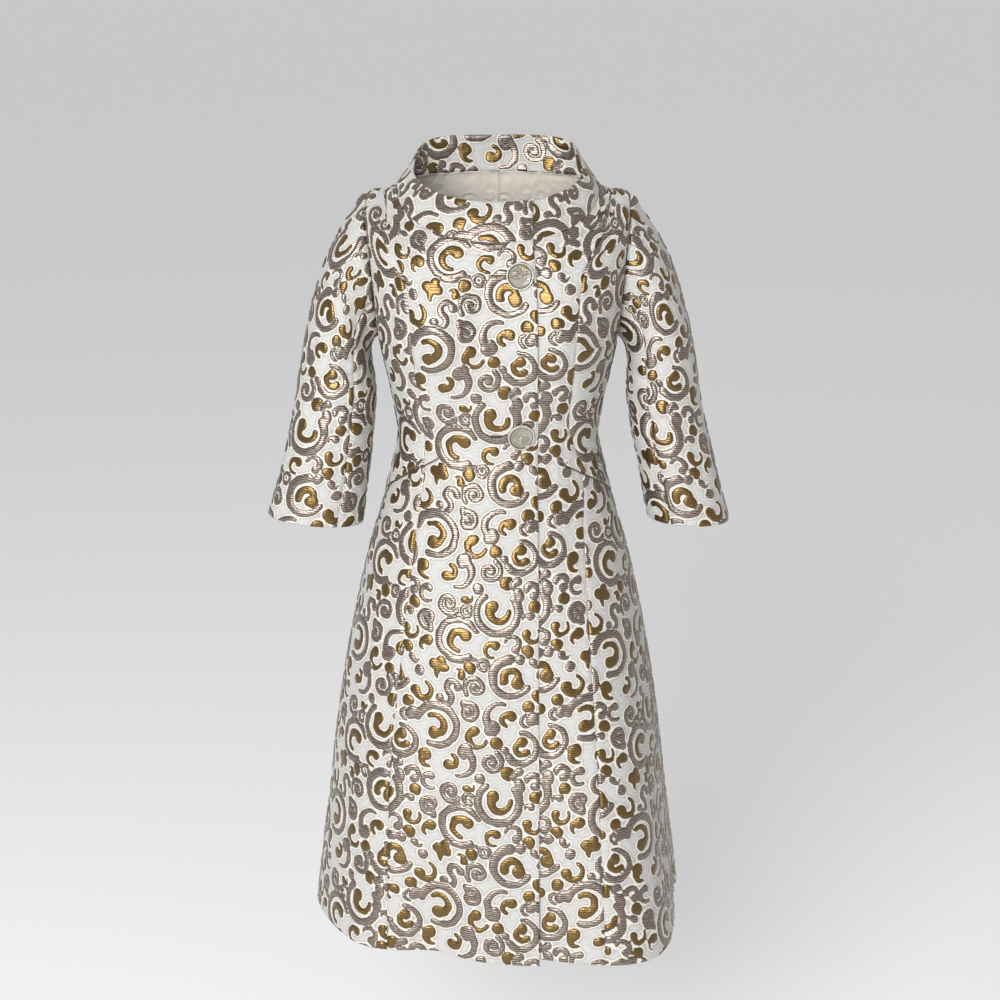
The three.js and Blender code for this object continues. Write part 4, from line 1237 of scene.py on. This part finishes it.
def makeButtonThread(spot):
    shape = {key: value * millimetre for key, value in threadShape.items()}
    middle = (buttonShape["standOff"] + 1.4) * millimetre
    spread = buttonShape["spread"] * millimetre
    made = []
    for aside in (-1, 0, 1):
        bpy.ops.mesh.primitive_torus_add(
            major_radius=spread,
            minor_radius=shape["strand"],
            major_segments=28,
            minor_segments=10,
            location=(0, aside * shape["apart"], middle),
            rotation=(quarter, 0, 0),
        )
        made.append(bpy.context.active_object)
    shankHigh = buttonShape["standOff"] * millimetre - shape["below"]
    bpy.ops.mesh.primitive_cylinder_add(vertices=20, radius=shape["shank"], depth=shankHigh,
        location=(0, 0, shape["below"] + shankHigh / 2))
    thread = bpy.context.active_object
    for loop in made:
        loop.select_set(True)
    bpy.ops.object.join()
    thread.name = spot["name"] + "ButtonThread"
    bpy.ops.object.shade_smooth_by_angle(angle=0.9)
    bpy.ops.object.transform_apply(location=True, rotation=True, scale=True)
    thread.matrix_world = buttonFrame(spot)
    bpy.ops.object.transform_apply(location=True, rotation=True, scale=True)
    thread.data.materials.append(sewingThread)
    bpy.ops.object.select_all(action="DESELECT")
    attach(thread, "root")
    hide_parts("button_thread_" + spot["name"])


def makeHoleEdge(spot):
    # The worked edge of a buttonhole: a thin cord of stitches all round the slit, its brown thread painted dark
    # to stand in for the shadow in the slit.
    at = float(rowAtZ(0.0, float(spot["z"])))
    xs = np.linspace(buttonhole["left"] - 1.0, buttonhole["right"], 70)
    line = bodyPoint(turnAtX(xs, at + 0 * xs), at + 0 * xs)
    line[:, 1] -= threadShape["edgeLift"] + 0.4
    aside = threadShape["edgeAside"]
    around = np.linspace(quarter, 3 * quarter, 9)[1:-1]
    leftEnd = line[0] + aside * np.stack([np.cos(around), 0 * around, np.sin(around)], -1)
    rightEnd = line[-1] + aside * np.stack([-np.cos(around), 0 * around, -np.sin(around)], -1)
    path = np.concatenate([(line + [0, 0, aside])[::-1], leftEnd, line - [0, 0, aside], rightEnd], 0)
    ahead = unit(np.roll(path, -1, 0) - np.roll(path, 1, 0))
    front = np.array([0.0, -1.0, 0.0])
    beside = unit(np.cross(ahead, front))
    lift = np.cross(beside, ahead)
    corners = np.linspace(0, 4 * quarter, 9)[:-1]
    # Each stitch swells the cord a little.
    swell = threadShape["edge"] * (1 + 0.16 * np.where(np.arange(len(path)) % 2 == 0, 1, -1))
    ring = (beside[:, None] * np.cos(corners)[None, :, None]
        + lift[:, None] * np.sin(corners)[None, :, None])
    points = path[:, None] + ring * swell[:, None, None]
    rows, columns = points.shape[:2]
    index = np.arange(rows * columns).reshape(rows, columns)
    nextRow = np.roll(index, -1, 0)
    faces = np.stack([index, np.roll(index, -1, 1), np.roll(nextRow, -1, 1), nextRow], -1).reshape(-1, 4)
    mesh = bpy.data.meshes.new(spot["name"] + "HoleEdge")
    mesh.from_pydata((points.reshape(-1, 3) * millimetre).tolist(), [], faces.tolist())
    mesh.update()
    cord = bpy.data.objects.new(spot["name"] + "HoleEdge", mesh)
    bpy.context.collection.objects.link(cord)
    bpy.context.view_layer.objects.active = cord
    cord.select_set(True)
    bpy.ops.object.mode_set(mode="EDIT")
    bpy.ops.mesh.select_all(action="SELECT")
    bpy.ops.mesh.normals_make_consistent(inside=False)
    bpy.ops.object.mode_set(mode="OBJECT")
    bpy.ops.object.shade_smooth()
    cord.select_set(False)
    mesh.materials.append(edgeThreadAndShadow)
    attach(cord, "root")


for spot in buttons:
    makeButton(spot)
    makeButtonThread(spot)
    makeHoleEdge(spot)
print("buttons made")

# Floor, light and camera.

floorLook = {"z": -1.52, "size": 900.0, "color": (0.93, 0.93, 0.93, 1)}


def makeFloor():
    bpy.ops.mesh.primitive_plane_add(size=floorLook["size"], location=(0, 0, floorLook["z"]))
    floor = bpy.context.active_object
    floor.name = "floor"
    sheet = NodeSheet("paleFloor")
    sheet.out("Base Color", floorLook["color"])
    sheet.out("Roughness", 0.9)
    floor.data.materials.append(sheet.material)
    bpy.ops.object.transform_apply(location=True, rotation=True, scale=True)
    bpy.ops.object.select_all(action="DESELECT")


lamps = [
    {"name": "keyLight", "place": (-1.25, -3.4, 1.2), "aim": (0, 0, -0.2), "size": (2.0, 1.5),
        "power": 118},
    {"name": "frontLight", "place": (-1.0, -3.5, -0.08), "aim": (0, 0, -0.45), "size": (1.7, 0.8),
        "power": 44},
]

room = {"color": (1.0, 1.0, 1.0, 1), "strength": 0.62}


def makeLights():
    for lamp in lamps:
        light = bpy.data.lights.new(lamp["name"], "AREA")
        light.energy = lamp["power"]
        light.shape = "RECTANGLE"
        light.size, light.size_y = lamp["size"]
        holder = bpy.data.objects.new(lamp["name"], light)
        bpy.context.collection.objects.link(holder)
        holder.location = lamp["place"]
        aim = [a - b for a, b in zip(lamp["aim"], lamp["place"])]
        yaw = math.atan2(aim[1], aim[0]) - math.pi / 2
        flat = math.hypot(aim[0], aim[1])
        holder.rotation_euler = (math.pi / 2 + math.atan2(aim[2], flat), 0, yaw)
    world = bpy.data.worlds.new("paleRoom")
    bpy.context.scene.world = world
    world.use_nodes = True
    background = world.node_tree.nodes["Background"]
    background.inputs[0].default_value = room["color"]
    background.inputs[1].default_value = room["strength"]


view = {"place": (0.0027, -2.44, 0.265), "down": 16.3, "lens": 64.08}


def makeCamera():
    camera = bpy.data.cameras.new("camera")
    camera.lens = view["lens"]
    camera.sensor_width = 36
    camera.clip_end = 900
    holder = bpy.data.objects.new("camera", camera)
    bpy.context.collection.objects.link(holder)
    holder.location = view["place"]
    holder.rotation_euler = ((90 - view["down"]) * degree, 0, 0)
    bpy.context.scene.camera = holder


makeFloor()
makeLights()
makeCamera()
bpy.context.scene.view_settings.view_transform = "Standard"
print("stage set")
